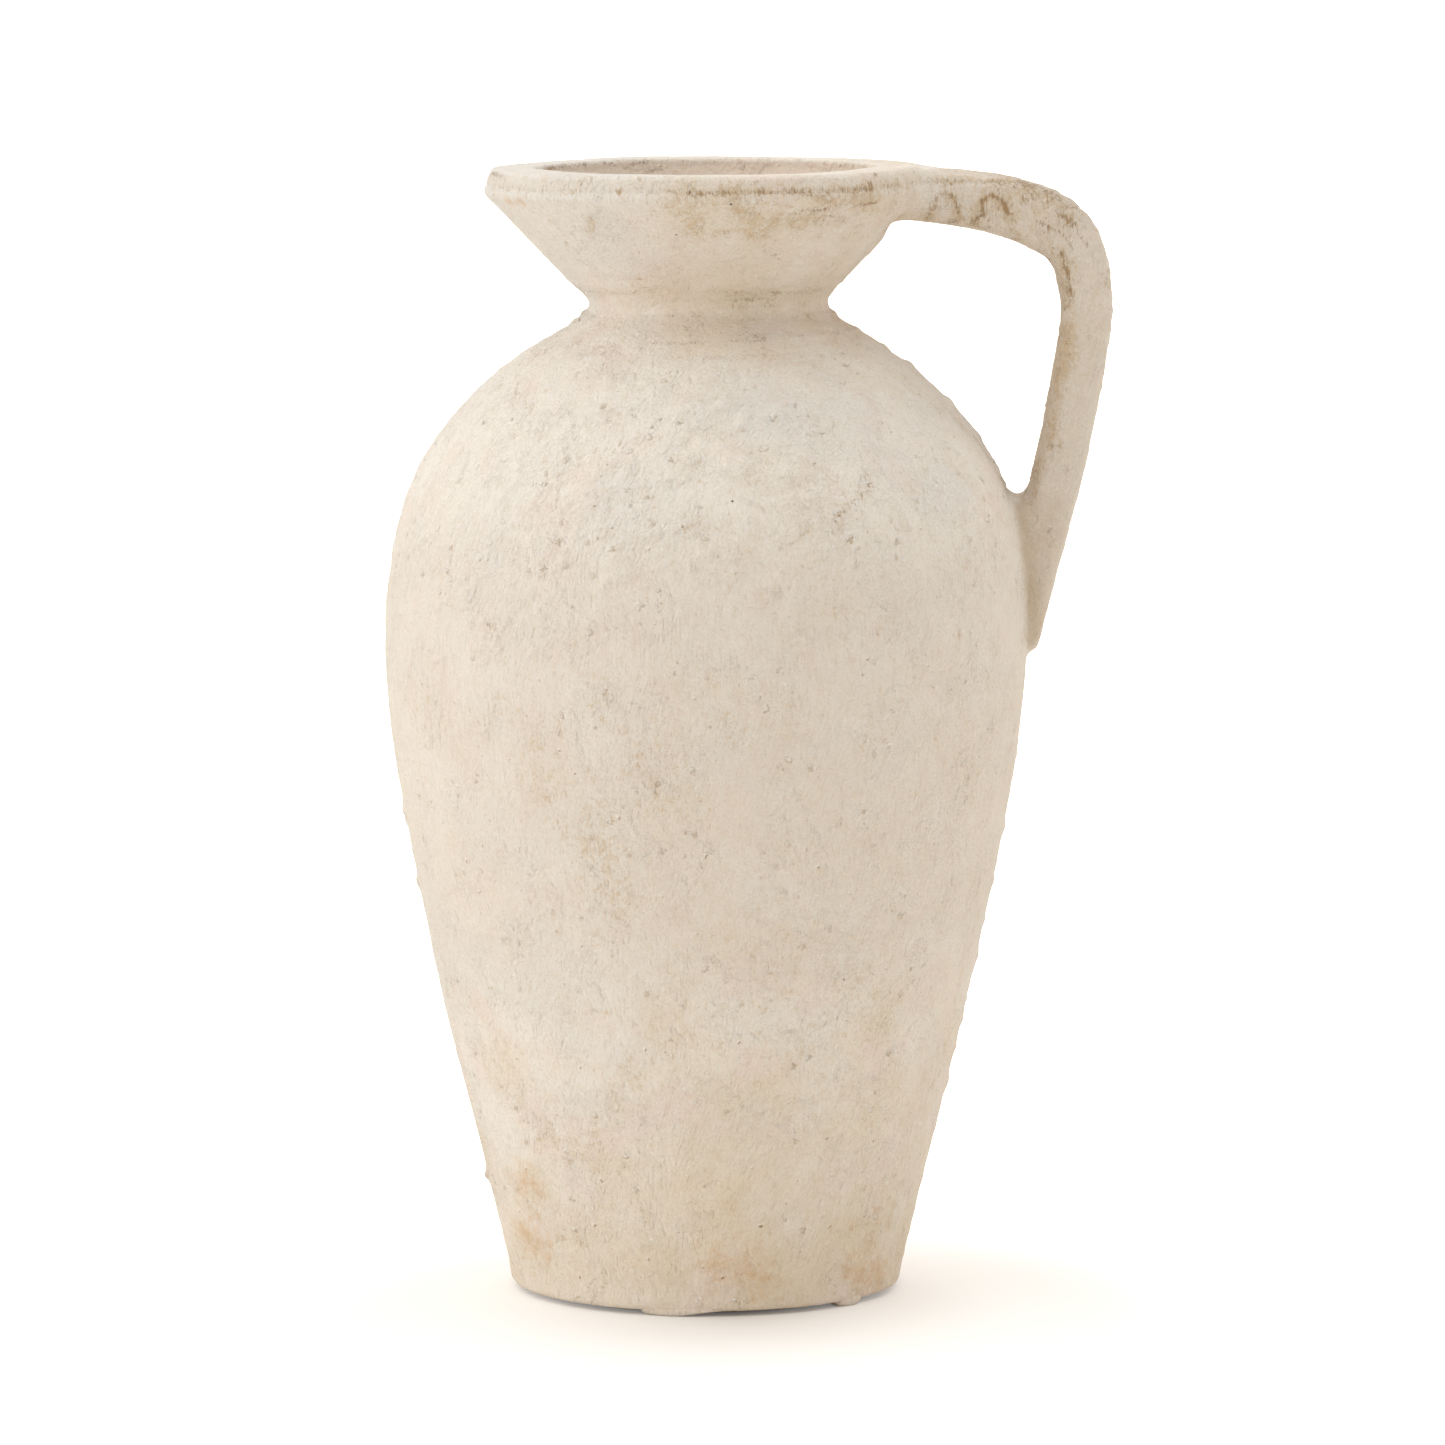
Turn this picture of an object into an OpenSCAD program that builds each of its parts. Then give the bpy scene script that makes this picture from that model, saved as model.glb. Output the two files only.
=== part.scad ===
// Handled jug vase in lime-washed terracotta.
// A slab base carries two thrown wall sections, a flared neck and a rolled rim; a pulled strap
// handle runs from the rim to the shoulder. The pieces sit on keyed seats and are luted together
// with soft clay before firing, so nothing moves.
// Millimetres. Origin on the floor under the middle of the base, +Z up, +X towards the handle.

/* [Body] */
// Height from the floor to the crown of the rim
vase_height = 406; // [396:1:420]
// Radius of the wall where it stands on the base slab
foot_radius = 71.4; // [66:0.1:76]
// Radius at the widest part of the belly
belly_radius = 115.5; // [108:0.5:122]
// Height of the widest part, where the two wall sections meet
belly_height = 231; // [222:1:236]
// Thickness of the thrown walls
wall = 8; // [6:0.5:9]
// Thickness of the base slab
slab_thickness = 10; // [9:0.5:12]
// Radius of the worn lower edge of the slab
slab_edge = 2.4; // [1.5:0.1:3]
// Height that the worn edge stands off the floor
edge_lift = 1.8; // [1:0.1:2.5]

/* [Neck and rim] */
// Radius of the bare corner between shoulder and neck
waist_radius = 40; // [37:0.5:44]
// Height of that corner
waist_height = 355; // [350:1:357]
// Outward lean of the neck, radius gained per height
neck_flare = 0.96; // [0.9:0.01:1]
// Radius of the rounded outer edge of the rim
rim_nose = 5; // [4:0.5:5.5]
// Width of the flat top of the rim
lip_width = 13; // [9:0.5:14]
// Height of the rolled rim above its seat on the neck
rim_band_height = 13; // [12:0.5:14]

/* [Handle] */
// Distance from the axis to the middle of the handle at its furthest point
handle_reach = 136.3; // [130:0.5:142]
// Depth of that furthest point below the crown of the rim
handle_knee_drop = 46.9; // [44:0.1:52]
// Depth of the middle of the handle below the crown, at the rim
handle_root_drop = 9.5; // [9.5:0.1:12]
// Height where the lower end of the handle stops on the belly
handle_tip_height = 231; // [229:1:240]
// Thickness of the upper arm, seen from the side
arm_thickness = 22.2; // [18:0.2:23]
// Thickness of the leg, seen from the side
leg_thickness = 18; // [16:0.2:20]
// Width of the strap across the handle
strap_width = 29; // [24:1:34]
// Extra width where the strap spreads on to the rim and the belly
strap_spread = 8; // [4:1:10]

/* [Joints] */
// Width of the ridge that keys each seat
key_width = 2.6; // [2:0.1:3]
// Height of that ridge
key_height = 2.2; // [1.5:0.1:2.5]
// Depth of the luting clay round the handle's ends
lute_depth = 4; // [3:0.5:5]

/* [Hidden] */
$fn = 96;

washed_clay = "#e2d8c8";
bare_clay = "#c9ab86";
lute_clay = "#d8cab3";

// The wall's outline is two curves that meet at the belly; these set how far each end runs straight.
foot_lean = 0.242;
foot_run = 50;
belly_run_down = 48.5;
belly_run_up = 55;
shoulder_lean = 1.84;
shoulder_run = 36;
wall_steps = 28;
neck_steps = 6;
arc_steps = 8;

// The rim: depth of its rounded edge below the crown, how far that edge turns up, how the lip's outer
// face runs into the flat crown, and the small round where the crown turns down into the mouth.
nose_drop = 7.95;
nose_turn = 20;
crown_inset = 3.9;
lip_pull = 3.6;
lip_corner = 2.2;
mouth_round = [2.5, 3.5];
throat_rise = 5.5;
rim_seat = vase_height - rim_band_height;

// The strap: how far each end of its two curves runs straight, its thickness at the root, how square
// its section is, its steps, the domed end, and the share of arm or leg over which it spreads.
root_inset = 17.4;
arm_run = 54;
arm_fall = 0.056;
knee_run = 27.7;
tip_radius = 111.2;
tip_run = 37.6;
tip_lean = 0.24;
root_thickness = 18.8;
strap_squareness = 4;
strap_sides = 28;
arm_steps = 18;
leg_steps = 20;
tip_steps = 5;
tip_dome = 6;
tip_turn = 84;
spread_length = 0.45;

// The saddles of luting clay: sides of the strap left bare either way from its outer face, least
// thickness, how many rings of the strap each saddle covers, and over how many the lower one fades.
lute_bare_sides = 5;
lute_edge = 0.4;
root_lute_rings = 5;
tip_lute_rings = 10;
tip_lute_fade = 5;

// Width of the bevel that lifts the slab's worn edge off the floor.
slab_bevel = 8;

// Lumps of clay under the worn edge: bearing round the base in degrees, and half their width. Their
// section starts a share of the way along the bevel and bulges out below the edge.
lumps = [[263, 15], [319, 6], [62, 9], [158, 8]];
lump_start = 0.25;
lump_bulge = 1.4;
lump_foot = 0.6;

// The coils: wall steps that the floor coil covers; wall steps that the seam coil covers each way, its
// thickness at the edges and what it gains in the middle; wall steps that the neck coil covers, and its
// height up the neck.
floor_coil_steps = 2;
seam_coil_steps = 3;
seam_coil_edge = 0.6;
seam_coil_swell = 2;
neck_coil_steps = 2;
neck_coil_height = 6;

// The throat's step in from the neck's corner, as a share of the wall.
throat_step = 0.82;

// A point on a cubic curve, and the direction there.
function curve_point(p, t) =
    pow(1 - t, 3) * p[0] + 3 * t * pow(1 - t, 2) * p[1] + 3 * t * t * (1 - t) * p[2] + t * t * t * p[3];
function curve_slope(p, t) =
    let (d = pow(1 - t, 2) * (p[1] - p[0]) + 2 * t * (1 - t) * (p[2] - p[1]) + t * t * (p[3] - p[2]))
    d / norm(d);
function curve(p, steps) = [for (i = [0 : steps]) curve_point(p, i / steps)];

// The same curve moved in by a wall's thickness, square to the surface.
function inside_curve(p, steps, depth) =
    [for (i = [0 : steps])
        let (d = curve_slope(p, i / steps)) curve_point(p, i / steps) - depth * [d[1], -d[0]]];

// A hollow corner between two points, drawn towards the corner point.
function hollow(a, corner, b, steps) =
    [for (i = [0 : steps]) let (t = i / steps) pow(1 - t, 2) * a + 2 * t * (1 - t) * corner + t * t * b];
function arc(centre, radius, from, to, steps) =
    [for (i = [0 : steps]) let (a = from + (to - from) * i / steps) centre + radius * [cos(a), sin(a)]];
function reversed(list) = [for (i = [len(list) - 1 : -1 : 0]) list[i]];
function slice(list, from, to) = [for (i = [from : to]) list[i]];
function ease(t) = let (c = max(0, min(1, t))) c * c * (3 - 2 * c);

// A seat's ridge, from its outer foot to its inner one.
function key_ridge(radius, height) =
    [[radius + key_width / 2, height], [radius, height + key_height], [radius - key_width / 2, height]];

lower_curve = [[foot_radius, slab_thickness],
               [foot_radius + foot_lean * foot_run, slab_thickness + foot_run],
               [belly_radius, belly_height - belly_run_down],
               [belly_radius, belly_height]];
upper_curve = [[belly_radius, belly_height],
               [belly_radius, belly_height + belly_run_up],
               [waist_radius + shoulder_lean * shoulder_run, waist_height - shoulder_run],
               [waist_radius, waist_height]];
lower_outside = curve(lower_curve, wall_steps);
lower_inside = inside_curve(lower_curve, wall_steps, wall);
upper_outside = curve(upper_curve, wall_steps);
upper_inside = inside_curve(upper_curve, wall_steps, wall);

// The inside of the foot is brought down to the slab's own plane.
foot_inside = [lower_inside[0][0], slab_thickness];
foot_key = key_ridge((foot_radius + foot_inside[0]) / 2, slab_thickness);
belly_key = key_ridge(belly_radius - wall / 2, belly_height);

// The neck is a straight cone outside. The rim's rounded edge rolls on from it, and sets the rim's radius.
neck_out = [1, -neck_flare] / norm([1, neck_flare]);
function neck_radius(height) = waist_radius + neck_flare * (height - waist_height);
nose_height = vase_height - nose_drop;
nose_centre = [waist_radius - (rim_nose + (nose_height - waist_height) * neck_out[1]) / neck_out[0],
               nose_height];
nose_start = atan2(neck_out[1], neck_out[0]);
nose_end = nose_centre + rim_nose * [cos(nose_turn), sin(nose_turn)];
rim_radius = nose_centre[0] + rim_nose;
crown_radius = rim_radius - crown_inset;
lip_face = [nose_end, nose_end + lip_pull * [-sin(nose_turn), cos(nose_turn)],
            [crown_radius + lip_corner, vase_height], [crown_radius, vase_height]];

// Inside, the wall thickens from the throat to the flat crown.
throat_radius = waist_radius - throat_step * wall;
throat_top = [throat_radius, waist_height + throat_rise];
crown_inner = [crown_radius - lip_width, vase_height];
mouth_edge = crown_inner - mouth_round;
lip_inside = [crown_inner, crown_inner - [0.6 * mouth_round[0], 0],
              mouth_edge + [0.3 * mouth_round[0], 0.5 * mouth_round[1]], mouth_edge];
neck_inside_top = throat_radius + (mouth_edge[0] - throat_radius)
    * (rim_seat - throat_top[1]) / (mouth_edge[1] - throat_top[1]);
waist_key = key_ridge((waist_radius + throat_radius) / 2, waist_height);
rim_key = key_ridge((neck_radius(rim_seat) + neck_inside_top) / 2, rim_seat);
rim_outside = concat([[neck_radius(rim_seat), rim_seat]],
                     arc(nose_centre, rim_nose, nose_start, nose_turn, arc_steps),
                     slice(curve(lip_face, neck_steps), 1, neck_steps));

edge_centre = [foot_radius - slab_edge - 1, edge_lift + slab_edge];
slab_outside = concat([[edge_centre[0] - slab_bevel, 0]], arc(edge_centre, slab_edge, -90, 0, arc_steps),
                      [[foot_radius, slab_thickness]]);

// Everything inside the vase's outer skin, to fit the handle's ends to it.
module vase_envelope()
    rotate_extrude()
        polygon(concat([[0, slab_thickness]], lower_outside, slice(upper_outside, 1, wall_steps),
                       rim_outside, [[0, vase_height]]));

module base_slab()
    color(bare_clay)
        rotate_extrude()
            polygon(concat([[0, 0]], slab_outside, foot_key, [[0, slab_thickness]]));

// Flattened lumps of clay that fill the gap under the slab's worn edge.
module foot_lumps() {
    start = slab_outside[0] + lump_start * [slab_bevel, edge_lift];
    on_edge = slice(slab_outside, 1, arc_steps - 2);
    top = on_edge[len(on_edge) - 1];
    bulge = hollow(top, [top[0] + lump_bulge, top[1] / 3], [top[0] - lump_foot, 0], arc_steps);
    color(bare_clay)
        for (lump = lumps)
            rotate(lump[0])
                intersection() {
                    rotate_extrude()
                        polygon(concat([start], on_edge, slice(bulge, 1, arc_steps), [[start[0], 0]]));
                    translate([(start[0] + top[0]) / 2, 0, 0])
                        cylinder(r = lump[1], h = top[1] + 1);
                }
}

// The coil pressed into the corner between floor and wall.
module floor_coil() {
    up_wall = lower_inside[floor_coil_steps];
    along_floor = foot_inside - [up_wall[1] - slab_thickness, 0];
    color(bare_clay)
        rotate_extrude()
            polygon(concat([foot_inside], slice(lower_inside, 1, floor_coil_steps - 1),
                           hollow(up_wall, foot_inside, along_floor, arc_steps)));
}

module lower_wall()
    color(washed_clay)
        rotate_extrude()
            polygon(concat(lower_outside, belly_key, reversed(slice(lower_inside, 1, wall_steps)),
                           [foot_inside], reversed(foot_key)));

// The coil smeared over the inside of the belly seam.
module seam_coil() {
    wall_points = concat(slice(lower_inside, wall_steps - seam_coil_steps, wall_steps),
                         slice(upper_inside, 1, seam_coil_steps));
    last = len(wall_points) - 1;
    smear = [for (i = [0 : last])
        wall_points[i] - [seam_coil_edge + seam_coil_swell * sin(180 * i / last), 0]];
    color(bare_clay)
        rotate_extrude()
            polygon(concat(wall_points, reversed(smear)));
}

module upper_wall()
    color(washed_clay)
        rotate_extrude()
            polygon(concat(upper_outside, waist_key, [[throat_radius, waist_height]],
                           reversed(slice(upper_inside, 0, wall_steps)), reversed(belly_key)));

// The coil that fills the corner outside the waist.
module neck_coil() {
    on_shoulder = slice(upper_outside, wall_steps - neck_coil_steps, wall_steps);
    corner = upper_outside[wall_steps];
    on_neck = corner + neck_coil_height * [neck_flare, 1];
    color(lute_clay)
        rotate_extrude()
            polygon(concat(on_shoulder, hollow(on_neck, corner, on_shoulder[0], arc_steps)));
}

module neck()
    color(washed_clay)
        rotate_extrude()
            polygon(concat([[waist_radius, waist_height], [neck_radius(rim_seat), rim_seat]], rim_key,
                           [[neck_inside_top, rim_seat], throat_top, [throat_radius, waist_height]],
                           reversed(waist_key)));

module rim_band()
    color(washed_clay)
        rotate_extrude()
            polygon(concat(rim_outside, curve(lip_inside, neck_steps), [[neck_inside_top, rim_seat]],
                           reversed(rim_key)));

// The strap's middle line, in the XZ plane: an arm out from the rim, then a leg down to the belly.
root = [rim_radius - root_inset, vase_height - handle_root_drop];
knee = [handle_reach, vase_height - handle_knee_drop];
arm_curve = [root, root + arm_run * [1, -arm_fall], knee + [0, knee_run], knee];
leg_end = [tip_radius, handle_tip_height + tip_dome];
leg_curve = [knee, knee - [0, knee_run], leg_end + tip_run * [tip_lean, 1], leg_end];

// One ring of the strap: middle point, direction, thickness and width.
function arm_ring(t) =
    [curve_point(arm_curve, t), curve_slope(arm_curve, t),
     root_thickness + (arm_thickness - root_thickness) * ease(2 * t)
         + (leg_thickness - arm_thickness) * ease(2 * t - 1),
     strap_width + strap_spread * (1 - ease(t / spread_length))];
function leg_ring(t) =
    [curve_point(leg_curve, t), curve_slope(leg_curve, t), leg_thickness,
     strap_width + strap_spread * ease((t + spread_length - 1) / spread_length)];
function tip_ring(turn) =
    let (last = leg_ring(1))
    [last[0] + tip_dome * sin(turn) * last[1], last[1], last[2] * cos(turn), last[3] * cos(turn)];
strap_rings = concat([for (i = [0 : arm_steps]) arm_ring(i / arm_steps)],
                     [for (i = [1 : leg_steps]) leg_ring(i / leg_steps)],
                     [for (i = [1 : tip_steps]) tip_ring(tip_turn * i / tip_steps)]);

// The strap's section is a squared oval; growth swells it for the luting clay.
function rounded(value) = sign(value) * pow(abs(value), 2 / strap_squareness);
function ring_point(ring, angle, growth) =
    let (across = (ring[2] / 2 + growth) * rounded(cos(angle)),
         along_y = (ring[3] / 2 + growth) * rounded(sin(angle)))
    [ring[0][0] - ring[1][1] * across, along_y, ring[0][1] + ring[1][0] * across];

// A four-sided face as two triangles, cut along its shorter diagonal.
function halved(face, points) =
    norm(points[face[0]] - points[face[2]]) < norm(points[face[1]] - points[face[3]])
        ? [[face[0], face[1], face[2]], [face[0], face[2], face[3]]]
        : [[face[0], face[1], face[3]], [face[1], face[2], face[3]]];

// A closed skin over equal rings of points. Each end is closed by a strip from one half of the ring
// to the other.
module skin(rings) {
    sides = len(rings[0]);
    half = sides / 2 - 2;
    end = (len(rings) - 1) * sides;
    points = [for (ring = rings) each ring];
    faces = concat(
        [for (j = [0 : half]) [j, j + 1, sides - 2 - j, sides - 1 - j]],
        [for (i = [0 : sides : end - 1], j = [0 : sides - 1])
            let (next = (j + 1) % sides) [i + j, i + sides + j, i + sides + next, i + next]],
        [for (j = [0 : half]) [end + j + 1, end + j, end + sides - 1 - j, end + sides - 2 - j]]);
    polyhedron(points = points, faces = [for (face = faces) each halved(face, points)]);
}

// A saddle of luting clay: the space between the strap and a swelled copy of it, over some of its rings.
// It leaves the strap's outer face bare, and the swelling fades towards the saddle's two long edges.
module lute(first, last, swelling) {
    steps = strap_sides - 2 * lute_bare_sides;
    angles = [for (j = [0 : steps]) 360 * (j + lute_bare_sides) / strap_sides];
    color(lute_clay)
        difference() {
            skin([for (i = [first : last])
                concat([for (j = [0 : steps])
                            ring_point(strap_rings[i], angles[j],
                                       lute_edge + swelling[i - first] * sin(180 * j / steps))],
                       [for (j = [steps : -1 : 0]) ring_point(strap_rings[i], angles[j], 0)])]);
            vase_envelope();
        }
}

module handle()
    color(washed_clay)
        difference() {
            skin([for (ring = strap_rings)
                [for (j = [0 : strap_sides - 1]) ring_point(ring, 360 * j / strap_sides, 0)]]);
            vase_envelope();
        }

module handle_root_lute()
    lute(0, root_lute_rings, [for (i = [0 : root_lute_rings]) lute_depth * (1 - ease(i / root_lute_rings))]);

module handle_tip_lute() {
    first = arm_steps + leg_steps - tip_lute_rings;
    lute(first, arm_steps + leg_steps, [for (i = [0 : tip_lute_rings]) lute_depth * ease(i / tip_lute_fade)]);
}

base_slab();
foot_lumps();
floor_coil();
lower_wall();
seam_coil();
upper_wall();
neck_coil();
neck();
rim_band();
handle();
handle_root_lute();
handle_tip_lute();
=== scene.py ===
"""Looks of a handled jug vase in lime-washed terracotta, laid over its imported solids.

Every visible piece is a surface worked out with numpy, in metres, in the frame of the solids. The
thrown pieces share one section turned round the axis, the handle is a section carried along its middle
line, and the saddles of luting clay run from the handle's skin to the vase's. One field of clay relief
and one of hand-made unevenness act on all of them by position, so that neighbours stay flush.
"""
import itertools
import math

import bpy
import numpy as np
from bpy.props import FloatProperty, FloatVectorProperty, PointerProperty
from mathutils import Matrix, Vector


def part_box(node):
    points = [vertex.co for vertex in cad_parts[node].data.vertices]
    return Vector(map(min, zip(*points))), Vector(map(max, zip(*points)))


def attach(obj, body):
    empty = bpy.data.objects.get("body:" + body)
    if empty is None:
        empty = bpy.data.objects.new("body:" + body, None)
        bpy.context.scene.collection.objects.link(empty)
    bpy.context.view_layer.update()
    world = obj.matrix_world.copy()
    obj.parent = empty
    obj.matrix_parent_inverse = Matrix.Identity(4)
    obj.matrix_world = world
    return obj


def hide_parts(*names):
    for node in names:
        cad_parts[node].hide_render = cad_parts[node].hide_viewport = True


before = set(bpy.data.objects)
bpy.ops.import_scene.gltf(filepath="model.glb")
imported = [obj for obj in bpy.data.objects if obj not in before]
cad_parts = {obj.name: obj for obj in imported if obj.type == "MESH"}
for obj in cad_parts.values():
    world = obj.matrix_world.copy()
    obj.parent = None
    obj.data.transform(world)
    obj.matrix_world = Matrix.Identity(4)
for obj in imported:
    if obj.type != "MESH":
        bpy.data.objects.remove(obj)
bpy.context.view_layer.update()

bl_info = {
    "name": "Lime-washed jug vase",
    "version": (1, 0, 0),
    "blender": (4, 5, 0),
    "location": "View3D > Sidebar > Jug vase",
    "description": "Builds the visible pieces of a handled clay vase and a plain stage for it",
    "category": "Add Mesh",
}

MM = 0.001


def corner(node, end, axis):
    """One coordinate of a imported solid's box: end 0 is the low corner and 1 the high one."""
    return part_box(node)[end][axis]


def length(name, description, default):
    """A property for a length in metres."""
    return FloatProperty(name=name, description=description, default=default, precision=4, unit='LENGTH')


def share(name, description, default):
    """A property for an amount from none to twice the full one."""
    return FloatProperty(name=name, description=description, default=default, min=0, max=2, subtype='FACTOR')


def strength(name, description, default):
    """A property for the strength of a light."""
    return FloatProperty(name=name, description=description, default=default, min=0)


def colour(name, description, default):
    """A property for a colour, its default written as 0 to 255 display levels."""
    linear = [((v / 255 + 0.055) / 1.055) ** 2.4 for v in default]
    return FloatVectorProperty(name=name, description=description, default=linear, min=0, max=1,
                               subtype='COLOR')


class VaseForm(bpy.types.PropertyGroup):
    """Sizes of the thrown pieces, most of them read from the solids."""
    foot_radius: length("Foot radius", "Radius of the wall on the slab", corner("base_slab", 1, 0))
    slab_top: length("Slab top", "Height of the slab's top face", corner("lower_wall", 0, 2))
    edge_lift: length("Edge lift", "Height of the slab's worn edge above the floor", 1.8 * MM)
    belly_radius: length("Belly radius", "Radius at the widest part", corner("lower_wall", 1, 0))
    belly_height: length("Belly height", "Height of the widest part", corner("upper_wall", 0, 2))
    waist_radius: length("Waist radius", "Radius of the corner between shoulder and neck", 40 * MM)
    waist_height: length("Waist height", "Height of that corner", corner("neck", 0, 2))
    neck_radius: length("Neck radius", "Radius of the neck under the rim", corner("neck", 1, 0))
    rim_seat: length("Rim seat", "Height where the rim sits on the neck", corner("rim_band", 0, 2))
    rim_radius: length("Rim radius", "Greatest radius of the rim", corner("rim_band", 1, 0))
    height: length("Height", "Height of the rim's crown", corner("rim_band", 1, 2))
    wall: length("Wall", "Thickness of the thrown walls", 8 * MM)
    relief: share("Relief", "Strength of the clay's lumps, strokes and pits", 1)
    unevenness: share("Unevenness", "Strength of the hand-made lean and wobble", 1)


class VaseHandle(bpy.types.PropertyGroup):
    """Sizes of the strap handle."""
    root_radius: length("Root radius", "Where the strap's middle line starts inside the rim", 61.99 * MM)
    root_height: length("Root height", "Height of the middle line at the rim", 396.5 * MM)
    reach: length("Reach", "Distance of the knee from the axis", 136.3 * MM)
    knee_height: length("Knee height", "Height of the furthest point", 359.1 * MM)
    tip_radius: length("Tip radius", "Distance of the lower end from the axis", 111.2 * MM)
    tip_height: length("Tip height", "Height of the lower end", 231 * MM)
    root_thickness: length("Root thickness", "Thickness at the rim", 18.8 * MM)
    arm_thickness: length("Arm thickness", "Thickness of the upper arm", 22.2 * MM)
    leg_thickness: length("Leg thickness", "Thickness of the leg", 18 * MM)
    strap_width: length("Strap width", "Width across the handle", 29 * MM)
    strap_spread: length("Strap spread", "Extra width at both ends", 8 * MM)


class VaseFinish(bpy.types.PropertyGroup):
    """Colours of clay and lime wash, and of painted shade and painted highlights."""
    wash: colour("Lime wash", "Chalky wash on the outside", (240, 232, 220))
    warm: colour("Warm wash", "Thin wash that the clay tints", (231, 213, 187))
    cool: colour("Cool wash", "Thick wash, a little grey", (231, 225, 216))
    blush: colour("Blush wash", "Wash with a little red clay in it", (238, 221, 208))
    # Painted highlight: a bright colour on the upper left of crumbs and dots, where light would catch them.
    painted_highlight: colour("Highlight", "Bright chalk on the lit side of crumbs", (252, 246, 236))
    # The handle's dulled wash; the same colour is laid on the belly as painted shade.
    aged: colour("Aged wash", "Wash on the handle, dulled by hands", (229, 218, 204))
    # Painted shade: a darker wash where the light falls off, low on the strap's sides, down the leg, on the
    # lip's face and on the funnel and belly away from the left.
    worn: colour("Shade wash", "Thin wash low on the handle and on the funnel", (205, 188, 166))
    stain: colour("Stain", "Tan stains and specks", (206, 178, 138))
    rust: colour("Rust", "Orange stains near the foot", (219, 184, 143))
    dirt: colour("Dirt", "Brown dirt in creases and on worn edges", (156, 116, 70))
    pin: colour("Pin hole", "Shade in pin holes", (98, 74, 52))
    clay: colour("Bare clay", "Unwashed clay inside and underneath", (222, 204, 186))


class VaseStage(bpy.types.PropertyGroup):
    """Camera, light and floor."""
    camera_distance: length("Camera distance", "Distance in front of the axis", 3.052)
    camera_height: length("Camera height", "Height of the camera", 0.530)
    aim_height: length("Aim height", "Height that the camera looks at", 0.205)
    aim_side: length("Aim side", "Sideways shift of camera and aim", 0.006)
    lens: FloatProperty(name="Lens", description="Focal length in millimetres", default=211.9, min=1)
    key: strength("Key", "Soft light from the left", 1.48)
    top: strength("Top", "Soft light from above", 1.42)
    fill: strength("Fill", "Soft light from behind on the right", 0.80)
    sky: strength("Sky", "Even light from all round", 0.45)


# The wall's curves: how far each end runs straight, and its lean.
FOOT_RUN, FOOT_LEAN = 50 * MM, 0.242
BELLY_RUN_DOWN, BELLY_RUN_UP = 48.5 * MM, 55 * MM
SHOULDER_RUN, SHOULDER_LEAN = 36 * MM, 1.84
# The slab's worn edge.
EDGE_RADIUS, EDGE_SET_IN, BEVEL = 2.4 * MM, 1 * MM, 8 * MM
# The lumps under it: bearing in degrees, half length along the edge and rise of the one end in millimetres.
LUMPS = ((263, 15, 1.7), (319, 6, 0), (62, 9, 1.2), (158, 8, 0))
# Their middles, in from the wall's foot and up, their half sizes across and up, and the powers that fill out
# their ends and square their sides.
LUMP_SET_IN, LUMP_MIDDLE, LUMP_ACROSS, LUMP_UP = 5.4 * MM, 2.1 * MM, 4.45 * MM, 2.7 * MM
LUMP_FULLNESS, LUMP_SQUARENESS = 0.55, 0.6
# The neck's lean, the coil in the waist, the throat, the rounded edge of the rim and its flat top.
FLARE, COIL_SHARE, COIL_HEIGHT, COIL_PULL = 0.96, 26 / 28, 6 * MM, 0.78
THROAT_STEP, THROAT_RISE = 0.82, 5.5 * MM
NOSE_RADIUS, NOSE_TURN, CROWN_SET_IN = 5 * MM, math.radians(20), 3.4 * MM
LIP_PULL, LIP_CORNER, LIP_WIDTH, MOUTH_ROUND = 3.6 * MM, 1.0 * MM, 13.5 * MM, (2.5 * MM, 3.5 * MM)
# The strap's two curves and its domed end.
ARM_RUN, ARM_FALL, KNEE_RUN = 54 * MM, 0.056, 27.7 * MM
TIP_RUN, TIP_LEAN, TIP_DOME = 37.6 * MM, 0.24, 6 * MM
SQUARENESS, SPREAD_LENGTH = 4, 0.45
# How far the strap runs on inside the wall at both ends, and the furthest travel along its dome.
STRAP_SUNK, STRAP_STOP = 7 * MM, 2.97
# The luting clay on the strap's outer face, sides and inner face: how far it runs up the strap and out over
# the wall, in millimetres, and how strongly its curve is pulled into the corner.
LUTES = {
    "handle_root_lute": ((10, 9, 2.2), (6, 7, 2.2), (0.62, 0.62, 0.62)),
    "handle_tip_lute": ((3, 4, 18), (3, 5, 17), (0.62, 0.62, 0.36)),
}
# How far the luting clay runs on past its edges, how deep it dives there, and the depth of its back.
LUTE_PAST, LUTE_DIVE, LUTE_SUNK = 1.2 * MM, 0.35 * MM, 0.8 * MM
# The coils inside: height of the one on the floor, and reach of the one on the belly seam each way.
FLOOR_COIL, SEAM_COIL, SEAM_COIL_EDGE, SEAM_COIL_SWELL = 13.7 * MM, 17 * MM, 0.6 * MM, 2 * MM
# The share of relief on inside faces, the bulge of the hidden ones, and how far the seam's coil is let in.
INSIDE_RELIEF, HIDDEN_BULGE, SEAM_COIL_SUNK = 0.6, 1.5 * MM, 0.3 * MM
# Points along each curve of the section, and how many of them inside give way to the throat and to the floor.
CURVE_POINTS, THROAT_TRIM, FLOOR_TRIM = 500, 12, 8

# The floor: its half side, the colour that it sends back to the vase and the colour that the camera sees.
FLOOR_REACH = 30.0
FLOOR_BOUNCE, FLOOR_SEEN = (0.97, 0.94, 0.90, 1), (0.79, 0.75, 0.70, 1)
# Where the shadow on it is deepest, in units of its spread each way in millimetres, and the two steps in
# which the floor's own glow comes back: the share of each, and where it starts and ends in those units.
SHADOW_PLACE, SHADOW_SPREAD = (0.008, -0.0469, 0), (1250, 1600, 1000)
GLOW_STEPS = ((0.3, -0.03, 0.09), (0.7, 0.10, 0.22))
# Where the lights stand, and the angle that each spreads over.
LIGHTS = {"key": (-1.8, -0.35, 0.55), "top": (-0.1, 0.2, 2.0), "fill": (1.8, 0.7, 0.6)}
LIGHT_SPREAD = math.radians(90)

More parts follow.
